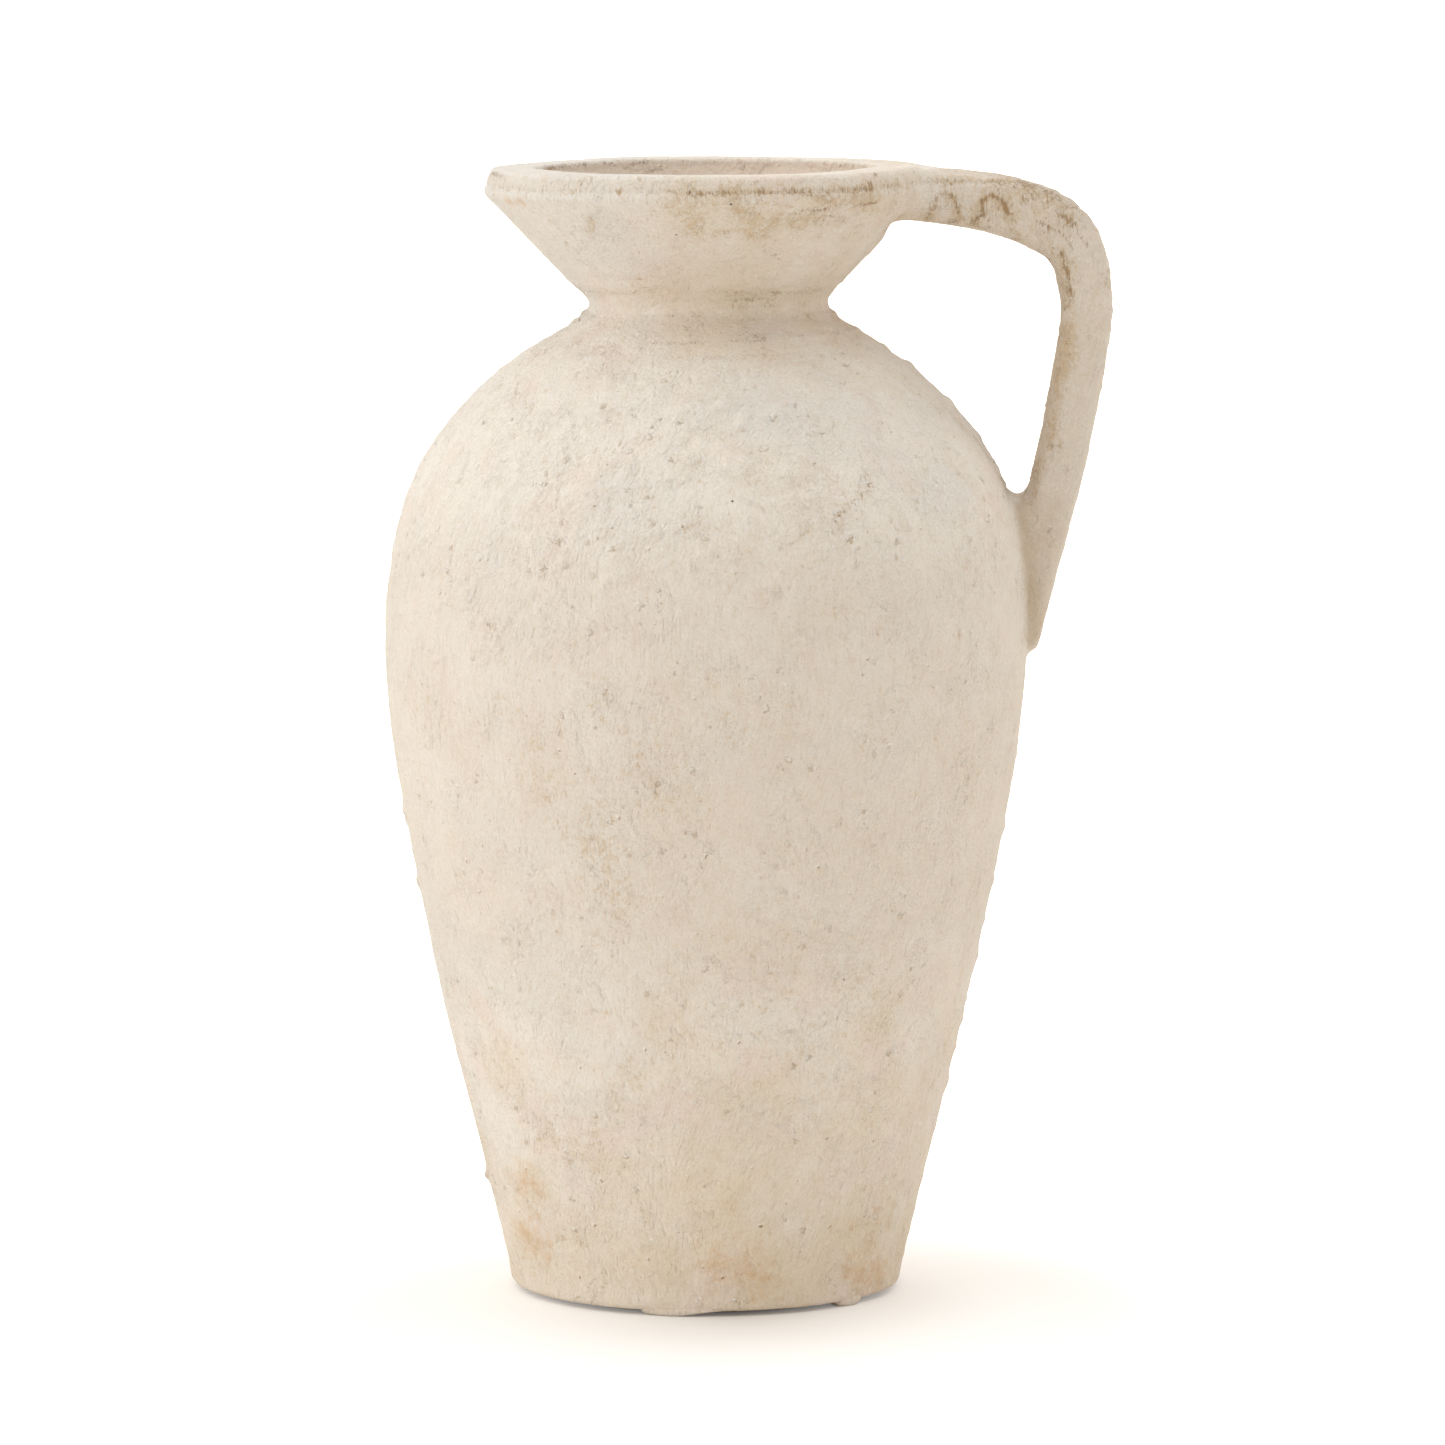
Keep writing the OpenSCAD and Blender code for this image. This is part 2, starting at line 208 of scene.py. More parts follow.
# Heights in millimetres between which a zone is at its full strength, and the distance that it fades over.
ZONES = {
    "body": (-10, 240, 60),
    "belly": (150, 250, 50),
    "shoulder": (268, 326, 40),
    "waist": (341, 368, 10),
    "waist_dirt": (347, 361, 14),
    "funnel": (364, 396, 10),
    "mouth": (374, 420, 12),
    "under_lip": (385, 399, 7),
    "lip_face": (400.6, 404.4, 0.8),
    "leg": (292, 350, 10),
    "leg_inside": (305, 352, 8),
    "leg_side_shade": (238, 284, 8),
}
# The handle's knee as x, height and size in millimetres, for its relief and for its stains.
KNEE_RELIEF, KNEE_STAIN = (128, 372, 34), (127, 374, 26)

# Rows of the thrown surface in each stretch of the section, and columns round the axis.
ROWS = {"underside": 4, "edge": 22, "lower": 152, "upper": 124, "coil": 20, "neck": 46, "rim": 60,
        "neck_inside": 24, "upper_inside": 24, "lower_inside": 20, "floor": 6}
AROUND = 540
STRAP_ROWS, STRAP_SIDES = 380, 160
LUTE_LOOP, LUTE_ROWS = 260, 26

# Marks on the wall: what, half width in millimetres, strength, and the line's points as bearing in degrees
# and height in millimetres. The viewer's side is at 270 degrees and the handle at 0.
WALL_MARKS = (
    ("dirt", 1.1, 0.45, (266, 400.2), (271, 400.4), (276, 400.2)),
    ("dirt", 1.2, 0.25, (280, 399.9), (292, 400.4), (298, 400.2)),
    ("dirt", 1.2, 0.30, (300, 400.6), (306, 400.4), (318, 401)),
    ("dirt", 1.0, 0.7, (294.4, 392.6), (299, 392.4), (303.9, 393.1)),
    ("dirt", 1.0, 0.7, (313.4, 394.1), (320.1, 394.6)),
    ("stain", 5.0, 0.5, (262, 396), (268, 386)),
    ("stain", 6.0, 0.6, (277, 396), (284, 385)),
    ("stain", 4.0, 0.8, (300, 397), (318, 396)),
    ("stain", 4.0, 0.7, (286, 391), (302, 389)),
    ("stain", 5.0, 0.8, (345, 318), (350, 304), (353, 290)),
    ("dirt", 1.2, 0.5, (350, 310), (353, 300), (355, 290)),
    ("dirt", 1.4, 0.7, (356, 306), (356, 296)),
    ("dirt", 0.8, 1.3, (283.1, 404), (283.3, 404)),
    ("dirt", 0.8, 1.3, (320.9, 405.2), (321.1, 405.2)),
    ("dirt", 1.2, 0.8, (190, 404.6), (201, 404)),
    ("rust", 3.0, 0.9, (205, 394), (214, 394.5)),
    ("stain", 2.8, 0.9, (236.8, 389.8), (235, 386), (233.2, 383.5)),
    ("dirt", 2.6, 0.35, (282, 346.8), (290, 346.2)),
    ("stain", 4.0, 0.8, (265, 307), (267, 307)),
    ("stain", 4.5, 0.8, (276, 303), (278.5, 302)),
    ("stain", 4.0, 0.7, (266, 284.5), (269, 284.5)),
    ("stain", 3.5, 0.8, (293.7, 285.8), (298, 291.5), (302.6, 297.1)),
    ("dirt", 0.9, 0.5, (293.7, 285.8), (298, 291.5), (302.6, 297.1)),
    ("stain", 10, 0.5, (234, 215), (237, 214)),
    ("stain", 9, 0.5, (239, 197), (240, 192)),
    ("stain", 13, 0.3, (246, 179), (248, 172)),
    ("stain", 15, 0.3, (250, 168), (253, 158)),
    ("stain", 14, 0.5, (284, 118), (290, 104)),
    ("stain", 14, 0.45, (300, 126), (306, 112)),
    ("stain", 12, 0.22, (250, 196), (252, 150)),
    ("stain", 8, 0.7, (274, 215), (276, 212)),
    ("stain", 10, 0.6, (260, 206), (260, 200)),
    ("stain", 9, 0.5, (251.5, 224), (252, 226)),
    ("stain", 9, 0.6, (253, 92), (252.9, 82)),
    ("stain", 9, 0.4, (229, 64), (238, 58)),
    ("stain", 10, 0.6, (318, 33), (323, 29)),
    ("rust", 12, 0.8, (274, 19), (284, 16)),
    ("rust", 9, 0.95, (318, 13), (331, 9)),
    ("rust", 7, 0.6, (325, 34), (331, 30)),
    ("rust", 9, 0.95, (216, 46), (220, 43)),
    ("rust", 10, 0.95, (211, 25), (216, 21)),
    ("dirt", 1.6, 1.0, (182, 174), (186, 172)),
    ("dirt", 1.4, 0.9, (182, 149), (185, 147)),
    ("dirt", 1.4, 0.9, (183, 41.5), (188, 40.5)),
    ("dirt", 1.3, 0.7, (185, 352.6), (192, 350.4)),
    ("dirt", 1.2, 0.6, (354, 353.4), (357, 353.2)),
    ("dirt", 1.1, 0.8, (105, 405), (130, 405), (154, 405)),
    ("dirt", 1.0, 0.7, (88, 392.5), (96, 393)),
    ("dirt", 0.9, 0.8, (38, 400.6), (52, 400.4), (66, 400.5)),
    ("dirt", 2.8, 0.5, (120, 390), (127, 385)),
    ("stain", 11, 0.7, (60, 210), (66, 190)),
    ("stain", 9, 0.7, (100, 150), (104, 138)),
    ("stain", 10, 0.7, (135, 95), (140, 88)),
    ("stain", 4, 0.8, (75, 300), (82, 296)),
    ("stain", 4, 0.8, (118, 290), (122, 286)),
    ("rust", 8, 0.9, (110, 22), (122, 17)),
    ("rust", 7, 0.8, (50, 42), (56, 38)),
)
# Marks on the strap's front face, as points of x and height in millimetres.
STRAP_MARKS = (
    ("stain", 2.2, 1.2, (79.3, 388), (80.6, 394), (84.3, 396.9), (88.4, 394.6), (90.4, 388)),
    ("dirt", 0.8, 1.0, (79, 388), (80.4, 394), (84.3, 397.2), (88.4, 395), (90, 390)),
    ("stain", 2.2, 1.2, (96.1, 386.5), (97.6, 392.6), (101.4, 395.4), (106, 392.6), (108.6, 387.2)),
    ("dirt", 0.8, 1.0, (95, 386), (99, 389), (98.4, 393.6), (101.4, 395.8), (106, 393.4), (108, 389)),
    ("dirt", 1.0, 0.6, (83, 385.6), (89, 386.4)),
    ("dirt", 0.9, 0.4, (110, 399.6), (118, 398.4), (126.1, 394.7)),
    ("stain", 3.2, 0.45, (108.6, 398.7), (118, 396.2), (128.1, 390.7)),
    ("dirt", 0.8, 0.9, (127.3, 375.5), (129.5, 368), (131, 359), (128.5, 355)),
    ("stain", 3.0, 1.0, (127.5, 374.4), (130.5, 366), (129.5, 355.3)),
    ("dirt", 0.8, 0.6, (119, 386), (127, 381.5), (133.5, 374)),
    ("dirt", 0.8, 0.5, (122, 391), (130, 386), (136.5, 377)),
    ("stain", 3.4, 1.3, (129.2, 348), (128.4, 334.4)),
    ("stain", 3.4, 1.3, (125.8, 330.5), (122.7, 306.8)),
    ("stain", 3.0, 1.1, (119, 300), (115.9, 286)),
    # Painted shade in the crease where the leg meets the belly, drawn in the stain colour.
    ("stain", 3.0, 0.8, (110.5, 287), (113, 276)),
)
# Crumbs of clay stuck to the skin, and chips in it: bearing, height, half width and rise.
CRUMBS = (
    (183, 174, 2.4, 1.1), (183, 170, 1.6, 0.7), (183, 148, 2.2, 1.0), (183, 41, 2.2, 1.2),
    (186, 352.6, 1.5, 1.6), (190, 351, 1.3, 1.3), (184, 349.8, 1.3, 1.2), (356, 353.2, 1.6, 1.2),
    (357, 75, 2.6, 0.9), (357, 98, 2.6, 0.7), (356, 121, 3.0, 0.9), (357, 148, 2.6, 0.7),
    (357, 168, 2.6, 0.8), (357, 88, 1.8, 0.6), (357, 134, 1.8, 0.6), (266, 307, 2.6, 0.7),
    (277, 303, 2.8, 0.8), (279.5, 301, 2.0, 0.7), (294, 286, 2.2, 0.7), (298, 291.5, 2.0, 0.6),
    (302, 296.5, 2.0, 0.6), (292, 305, 2.6, -0.4), (288.7, 298, 2.4, -0.4), (298.5, 298, 2.4, -0.4),
    (285, 312, 3.0, 0.5), (296, 311, 3.2, -0.4), (303, 304, 2.6, 0.6), (83, 302, 2.8, 0.7),
    (104, 295, 2.6, -0.7), (62, 88, 2.6, 0.7), (131, 130, 2.6, 0.7), (356, 309, 2.2, 0.9),
    (355, 303, 1.8, 0.8), (354, 298, 2.4, 1.0), (356, 292, 1.8, 0.7), (243, 34, 1.8, 0.6),
    (252, 30, 1.6, -0.6), (262, 33, 1.8, 0.6), (247, 21, 1.8, -0.7), (258, 14, 2.0, 0.7),
    (272, 13, 1.6, -0.8), (283, 24, 2.2, 0.7), (236, 19, 2.2, 0.7), (303, 40, 2.2, 0.7),
    (296, 34, 1.6, 0.6), (316, 14, 2.4, 0.8), (324, 12, 2.0, 0.9), (329, 16, 1.8, -0.7),
    (311, 52, 2.4, 0.7), (288, 62, 2.0, 0.6), (268, 70, 2.0, -0.6), (246, 78, 2.2, 0.6),
    (233, 49, 2.2, 0.7),
)


def ease(t):
    """Smooth step: 0 below 0, 1 above 1 and 3t^2 - 2t^3 between."""
    t = np.clip(t, 0, 1)
    return t * t * (3 - 2 * t)


def band(value, low, high, soft):
    """1 between low and high, easing to 0 over the distance soft outside them."""
    return ease((value - low) / soft + 1) * ease((high - value) / soft + 1)


def zone(height, name):
    """How far each height in millimetres lies in a named zone, 0 to 1."""
    return band(height, *ZONES[name])


def hump(value, middle, width):
    """exp(-d^2), d being the distance from the middle over the width."""
    return np.exp(-((value - middle) / width) ** 2)


def away(x, height, place):
    """Distance of each x and height from a place, in units of its size."""
    return np.hypot(x - place[0], height - place[1]) / place[2]


def unit(vectors):
    """The vectors at length one; a zero vector stays zero."""
    size = np.linalg.norm(vectors, axis=-1, keepdims=True)
    return vectors / np.where(size > 0, size, 1)


def bezier(t, *points):
    """Cubic curve: four points weighted by the Bernstein terms of t."""
    t = np.asarray(t)[..., None]
    u = 1 - t
    a, b, c, d = (np.asarray(p, float) for p in points)
    return u ** 3 * a + 3 * t * u * u * b + 3 * t * t * u * c + t ** 3 * d


def bezier_slope(t, *points):
    """Direction of the cubic curve, of length one."""
    t = np.asarray(t)[..., None]
    u = 1 - t
    a, b, c, d = (np.asarray(p, float) for p in points)
    return unit(u * u * (b - a) + 2 * t * u * (c - b) + t * t * (d - c))


def quadratic(t, a, b, c):
    """Curve from a to c drawn towards b, by the Bernstein terms of t."""
    t = np.asarray(t)[..., None]
    return (1 - t) ** 2 * a + 2 * t * (1 - t) * b + t * t * c


def travelled(points):
    """Distance from the first point along a line of points, or along each line of a grid of rows."""
    steps = np.linalg.norm(np.diff(points, axis=0), axis=-1)
    return np.concatenate([np.zeros_like(steps[:1]), np.cumsum(steps, axis=0)])


def evenly(line, count):
    """The same line with count + 1 points spaced evenly along its length."""
    along = travelled(line)
    wanted = np.linspace(0, along[-1], count + 1)
    return np.stack([np.interp(wanted, along, column) for column in line.T], axis=1)


def lattice(cells, seed):
    """Three repeatable random numbers from -1 to 1 for each whole-number point, from one mixed integer."""
    mixed = cells.astype(np.int64).astype(np.uint32) @ np.array([73856093, 19349663, 83492791], np.uint32)
    mixed = mixed + np.uint32(seed * 668265263 % 2 ** 32)
    for shift, factor in ((15, 2246822519), (13, 3266489917)):
        mixed = (mixed ^ (mixed >> np.uint32(shift))) * np.uint32(factor)
    mixed ^= mixed >> np.uint32(16)
    parts = [mixed >> np.uint32(shift) & np.uint32(1023) for shift in (0, 10, 20)]
    return np.stack(parts, axis=-1) / 511.5 - 1


def noise(points, sizes, seed):
    """Gradient noise, about -1 to 1: a random slope at each point of a grid of those sizes in millimetres,
    blended by a quintic."""
    points = points / (MM * np.asarray(sizes))
    cell = np.floor(points)
    part = points - cell
    blend = part ** 3 * (part * (part * 6 - 15) + 10)
    total = np.zeros(points.shape[:-1])
    for offset in itertools.product((0, 1), repeat=3):
        weight = np.prod(np.where(offset, blend, 1 - blend), axis=-1)
        total += weight * np.sum(lattice(cell + offset, seed) * (part - offset), axis=-1)
    return 1.5 * total


def pebbles(points, size, seed, chance):
    """Round bumps of height 0 to 1 in some cells of a grid of that size in millimetres: one ball a cell,
    placed and sized at random, with the profile (1 - d^2)^2 of the distance d from its middle over its
    radius."""
    points = points / (MM * size)
    cell = np.floor(points)
    middle = 0.5 + 0.24 * lattice(cell, seed)
    pick = lattice(cell, seed + 1)
    radius = 0.19 + 0.06 * pick[..., 1]
    d = np.sum((points - cell - middle) ** 2, axis=-1) / radius ** 2
    return np.where(pick[..., 0] < 2 * chance - 1, np.clip(1 - d, 0, 1) ** 2, 0)


def twisted(points, turn):
    """The points turned about the axis by the angle turn, in radians per metre, times their height."""
    angle = turn * points[..., 2]
    c, s = np.cos(angle), np.sin(angle)
    x, y, z = np.moveaxis(points, -1, 0)
    return np.stack([c * x - s * y, s * x + c * y, z], axis=-1)


def rough_patches(points):
    """How rough the shoulder is at each point: a band of heights times broad patches of noise, 0 to 1."""
    return zone(points[..., 2] / MM, "shoulder") * ease(0.55 + noise(points, 26, 466))


def relief(points):
    """Height of the clay at each point, in metres. Noise of falling size makes swells, lumps and pits,
    stronger in rough patches of the shoulder and on the handle's knee. Slanting and upright strokes run over
    the body, throwing lines round the waist and a groove under the lip, and pebbles, crumbs and chips are
    added to it all."""
    x, y, height = np.moveaxis(points, -1, 0) / MM
    reach = np.hypot(x, y)
    shoulder, below, waist = (zone(height, name) for name in ("shoulder", "body", "waist"))
    knee = ease(1.4 - away(x, height, KNEE_RELIEF))
    rim = ease((height - 390) / 8) * ease((84 - reach) / 4)
    low = ease((190 - height) / 120)
    rough = np.maximum(shoulder, 1.5 * knee)
    on_body = 0.3 + 0.7 * ease((120 - reach) / 5)
    lumpy = np.maximum(on_body * rough_patches(points) * (0.8 + 1.1 * band(x, 15, 60, 55)), 0.7 * knee)

    # Swells, lumps and pits, from broad to fine.
    total = 0.28 * noise(points, 42, 1)
    total += (0.13 + 0.15 * shoulder) * noise(points, 15, 2)
    total += (0.08 + 0.10 * rough) * noise(points, 6.5, 3)
    total += 0.38 * lumpy * (1 - knee) * noise(points, (13, 13, 5), 14)
    total += (0.08 + 0.06 * rough + 0.05 * low) * noise(points, 3.2, 4)
    total += (0.10 + 0.70 * lumpy + 0.15 * low) * ease(noise(points, 8, 9) * 2 - 0.3)
    total -= (0.10 + 0.45 * lumpy) * ease(noise(points, 7, 10) * 2.2 - 0.5)

    # Tool strokes on the body, throwing lines, pebbles, the groove under the lip, crumbs and chips.
    slanting = noise(twisted(points, 4.0), (2.8, 2.8, 15), 5)
    upright = noise(twisted(points, -0.6), (3.4, 3.4, 26), 6)
    total += below * (0.10 * slanting + 0.12 * upright)
    total *= 1 - 0.5 * rim
    total += (0.26 * waist + 0.03) * noise(points, (60, 60, 2.6), 7)
    total += (1 - 0.7 * rim) * (0.38 * pebbles(points, 9, 21, 0.45) - 0.10 * pebbles(points, 10, 31, 0.45))
    total -= 0.45 * hump(height, 400, 0.9) * ease((reach - 74) / 2)
    for bearing, level, wide, rise in CRUMBS:
        turn = np.radians(bearing)
        side = y * math.cos(turn) - x * math.sin(turn)
        out = x * math.cos(turn) + y * math.sin(turn)
        total += rise * ((out > 20) & (out < 118)) * hump(side, 0, wide) * hump(height, level, wide)
    return total * MM


def settle_by_hand(points, form):
    """The points moved as a hand-made pot departs from a true one: a drift of the axis by height, a slow
    wobble in every direction, a waist pushed towards the handle, a neck pressed in under the handle's root,
    and a rim that sinks in front and away from the handle."""
    x, y, height = np.moveaxis(points, -1, 0) / MM
    cone = (form.waist_radius + (points[..., 2] - form.waist_height) * FLARE) / MM
    drift = 0.9 * hump(height, 300, 45) + 0.1 * hump(height, 406, 34) - 0.3 * hump(height, 110, 60)
    pushed = hump(height, 351, 8) * (2.2 * ease(x / -25) + 0.8 * ease(x / 25))
    pressed = (4.0 * hump(height, 387, 5) * hump(y, 0, 17)
               * ease(1 - (np.hypot(x, y) - cone) / 2) * ease((x - 0.7 * cone) / 8))
    sunk = ease((height - 392) / 10) * (1.1 * ease((-20 - x) / 55) + 0.9 * ease((-20 - y) / 40))
    wobble = np.stack([noise(points, 85, seed) for seed in (11, 12, 13)], axis=-1)
    moved = wobble * (0.5, 0.5, 0.35) * ease(height / 40)[..., None]
    moved[..., 0] += drift + pushed - pressed
    moved[..., 2] -= sunk
    return points + form.unevenness * moved * MM


def section(form):
    """The vase's section as named lines of radius and height, from the middle of the underside out, up,
    over the rim and down the inside to the middle of the floor. Cubic curves make the walls and the lip,
    arcs the worn edge and the rim's edge, straight lines the rest."""
    t = np.linspace(0, 1, CURVE_POINTS)
    foot = np.array([form.foot_radius, form.slab_top])
    belly = np.array([form.belly_radius, form.belly_height])
    waist = np.array([form.waist_radius, form.waist_height])
    edge = np.array([form.foot_radius - EDGE_RADIUS - EDGE_SET_IN, form.edge_lift + EDGE_RADIUS])
    turn = np.linspace(-math.pi / 2, 0, 40)
    arc = edge + EDGE_RADIUS * np.stack([np.cos(turn), np.sin(turn)], axis=1)
    stand = np.array([edge[0] - BEVEL, 0])

    lower = (foot, foot + [FOOT_LEAN * FOOT_RUN, FOOT_RUN], belly - [0, BELLY_RUN_DOWN], belly)
    upper = (belly, belly + [0, BELLY_RUN_UP], waist + [SHOULDER_LEAN * SHOULDER_RUN, -SHOULDER_RUN], waist)

    def inside(curve):
        """The curve moved in by the wall's thickness, square to it, from its end back to its start."""
        way = bezier_slope(t, *curve)
        return (bezier(t, *curve) - form.wall * np.stack([way[:, 1], -way[:, 0]], axis=1))[::-1]

    coil_low, coil_high = bezier(COIL_SHARE, *upper), waist + COIL_HEIGHT * np.array([FLARE, 1])
    out = unit(np.array([1, -FLARE]))
    neck_top = np.array([form.neck_radius, form.rim_seat])
    nose_x = form.rim_radius - NOSE_RADIUS
    nose = np.array([nose_x, waist[1] - ((nose_x - waist[0]) * out[0] + NOSE_RADIUS) / out[1]])
    roll = np.linspace(math.atan2(out[1], out[0]), NOSE_TURN, 60)
    rolled = nose + NOSE_RADIUS * np.stack([np.cos(roll), np.sin(roll)], axis=1)
    crown = np.array([form.rim_radius - CROWN_SET_IN, form.height])
    pull = LIP_PULL * np.array([-math.sin(NOSE_TURN), math.cos(NOSE_TURN)])
    lip_face = bezier(t, rolled[-1], rolled[-1] + pull, crown + [LIP_CORNER, 0], crown)
    crown_inner = crown - [LIP_WIDTH, 0]
    mouth = crown_inner - MOUTH_ROUND
    lip_inside = bezier(t, crown_inner, crown_inner - [0.6 * MOUTH_ROUND[0], 0],
                        mouth + [0.3 * MOUTH_ROUND[0], 0.5 * MOUTH_ROUND[1]], mouth)
    throat = np.array([form.waist_radius - THROAT_STEP * form.wall, form.waist_height])
    throat_top = throat + [0, THROAT_RISE]
    down = (form.rim_seat - throat_top[1]) / (mouth[1] - throat_top[1])
    seat_inner = throat_top + down * (mouth - throat_top)
    shoulder_inside, wall_inside = inside(upper), inside(lower)
    foot_inside = np.array([wall_inside[-1][0], form.slab_top])
    return {
        "underside": np.array([[0, 0], stand]),
        "edge": np.vstack([stand, arc, foot]),
        "lower": bezier(t, *lower),
        "upper": bezier(t * COIL_SHARE, *upper),
        "coil": bezier(t, coil_low, coil_low + COIL_PULL * (waist - coil_low),
                       coil_high + COIL_PULL * (waist - coil_high), coil_high),
        "neck": np.array([coil_high, neck_top]),
        "rim": np.vstack([neck_top, rolled, lip_face[1:], lip_inside, seat_inner]),
        "neck_inside": np.vstack([seat_inner, throat_top, throat]),
        "upper_inside": np.vstack([throat, shoulder_inside[THROAT_TRIM:]]),
        "lower_inside": np.vstack([wall_inside[:-FLOOR_TRIM], foot_inside]),
        "floor": np.array([foot_inside, [0, form.slab_top]]),
        "under_coil": bezier(COIL_SHARE + t * (1 - COIL_SHARE), *upper),
        "neck_under_coil": np.array([waist, coil_high]),
    }


def turned(line, angles):
    """A line of radius and height turned round the axis: rows of points, one column for each angle."""
    radius, height = line[:, 0, None], line[:, 1, None]
    return np.stack([radius * np.cos(angles), radius * np.sin(angles), height + 0 * angles], axis=-1)


def turned_normals(line, angles):
    """Outward normals of the turned line, square to its slope."""
    way = unit(np.gradient(line, axis=0))
    return turned(np.stack([way[:, 1], -way[:, 0]], axis=1), angles)


def grid_normals(points):
    """Normals of a grid whose rows are closed rings: the slope round a row crossed with that across rows."""
    along = np.roll(points, -1, axis=1) - np.roll(points, 1, axis=1)
    return unit(np.cross(along, np.gradient(points, axis=0)))


class Patch:
    """A grid of closed rows: its points, its normals and the true points that the fields are read at."""

    def __init__(self, points, base=None, normals=None):
        self.points = points
        self.base = points if base is None else base
        self.normals = grid_normals(points) if normals is None else normals

    def rows(self, part):
        """The patch of some of the rows."""
        return Patch(self.points[part], self.base[part], self.normals[part])

    def flipped(self):
        """The patch run backwards, facing the other way."""
        return Patch(self.points[::-1], self.base[::-1], -self.normals[::-1])


def between(start, end):
    """A hidden patch straight from the last row of one patch to the first row of another."""
    return Patch(np.stack([start.points[-1], end.points[0]]))


def dressed(base, normals, form, amount=1.0):
    """A patch from true points: raised along their normals by the relief, then settled by hand."""
    raised = base + (form.relief * amount * relief(base))[..., None] * normals
    return Patch(settle_by_hand(raised, form), base)


class Shell:
    """A closed surface over patches that follow one another, the last row of each being the first of the
    next. Without poles the last patch ends on the first row. With poles the first and the last row are one
    point each."""

    def __init__(self, patches, poles):
        def stacked(kind):
            parts = [getattr(p, kind) for p in patches]
            return np.concatenate([p[:-1] for p in parts] + ([parts[-1][-1:]] if poles else []))

        def vertices(kind):
            grid = stacked(kind)
            if not poles:
                return grid.reshape(-1, 3)
            return np.concatenate([grid[0][:1], grid[1:-1].reshape(-1, 3), grid[-1][:1]])

        def cornered(a, b):
            """Values of the lower and the upper row at the four corners of each face."""
            return np.stack([a, np.roll(a, -1, axis=1), np.roll(b, -1, axis=1), b], axis=2)

        rows, around = stacked("points").shape[:2]
        if poles:
            last = 1 + (rows - 2) * around
            index = np.concatenate([np.zeros(around, int), np.arange(1, last), np.full(around, last)])
            index = index.reshape(rows, around)
            low, high = index[:-1], index[1:]
        else:
            index = np.arange(rows * around).reshape(rows, around)
            low, high = index, np.roll(index, -1, axis=0)
        faces = cornered(low, high)
        normals = cornered(np.concatenate([p.normals[:-1] for p in patches]),
                           np.concatenate([p.normals[1:] for p in patches]))
        pieces = [(faces, normals)]
        if poles:
            pieces = [(faces[:1, :, 1:], normals[:1, :, 1:]), (faces[1:-1], normals[1:-1]),
                      (faces[-1:, :, :3], normals[-1:, :, :3])]
        self.points, self.base = vertices("points"), vertices("base")
        self.corners = np.concatenate([f.ravel() for f, _ in pieces])
        self.normals = np.concatenate([n.reshape(-1, 3) for _, n in pieces])
        self.sizes = np.concatenate([np.full(f.shape[0] * around, f.shape[2]) for f, _ in pieces])
        self.row = np.empty(len(self.points), int)
        self.row[index.ravel()] = np.repeat(np.arange(rows), around)
        self.joins = np.cumsum([0] + [len(p.points) - 1 for p in patches])


def mesh_of(name, shells, material, outline):
    """A mesh of one or more shells, with their normals split where patches join, and with the fields."""
    kinds = ("points", "base", "normals", "sizes")
    joined = {kind: np.concatenate([getattr(s, kind) for s in shells]) for kind in kinds}
    starts = np.cumsum([0] + [len(s.points) for s in shells])
    corners = np.concatenate([s.corners + first for s, first in zip(shells, starts)])
    row = np.concatenate([s.row + first for s, first in zip(shells, starts)])
    joins = np.concatenate([s.joins + first for s, first in zip(shells, starts)])
    mesh = bpy.data.meshes.new(name)
    mesh.vertices.add(len(joined["points"]))
    mesh.vertices.foreach_set("co", joined["points"].astype(np.float32).ravel())
    mesh.loops.add(len(corners))
    mesh.loops.foreach_set("vertex_index", corners.astype(np.int32))
    mesh.polygons.add(len(joined["sizes"]))
    loops = np.concatenate([[0], np.cumsum(joined["sizes"])[:-1]])
    mesh.polygons.foreach_set("loop_start", loops.astype(np.int32))
    mesh.update(calc_edges=True)
    if mesh.validate():
        raise RuntimeError(name + " has faults in its mesh")
    mesh.shade_smooth()
    ends = np.empty(2 * len(mesh.edges), np.int32)
    mesh.edges.foreach_get("vertices", ends)
    start, end = row[ends.reshape(-1, 2)].T
    crease = mesh.attributes.new("sharp_edge", 'BOOLEAN', 'EDGE')
    crease.data.foreach_set("value", (start == end) & np.isin(start, joins))
    split = mesh.attributes.new("custom_normal", 'FLOAT_VECTOR', 'CORNER')
    split.data.foreach_set("vector", joined["normals"].astype(np.float32).ravel())
    for field, values in fields(joined["base"], outline).items():
        mesh.attributes.new(field, 'FLOAT', 'POINT').data.foreach_set("value", values.astype(np.float32))
    mesh.materials.append(material)
    return mesh


def add_piece(node, mesh):
    """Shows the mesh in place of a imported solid."""
    piece = bpy.data.objects.new(node + "_skin", mesh)
    bpy.context.scene.collection.objects.link(piece)
    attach(piece, "root")
    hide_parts(node)
    return piece


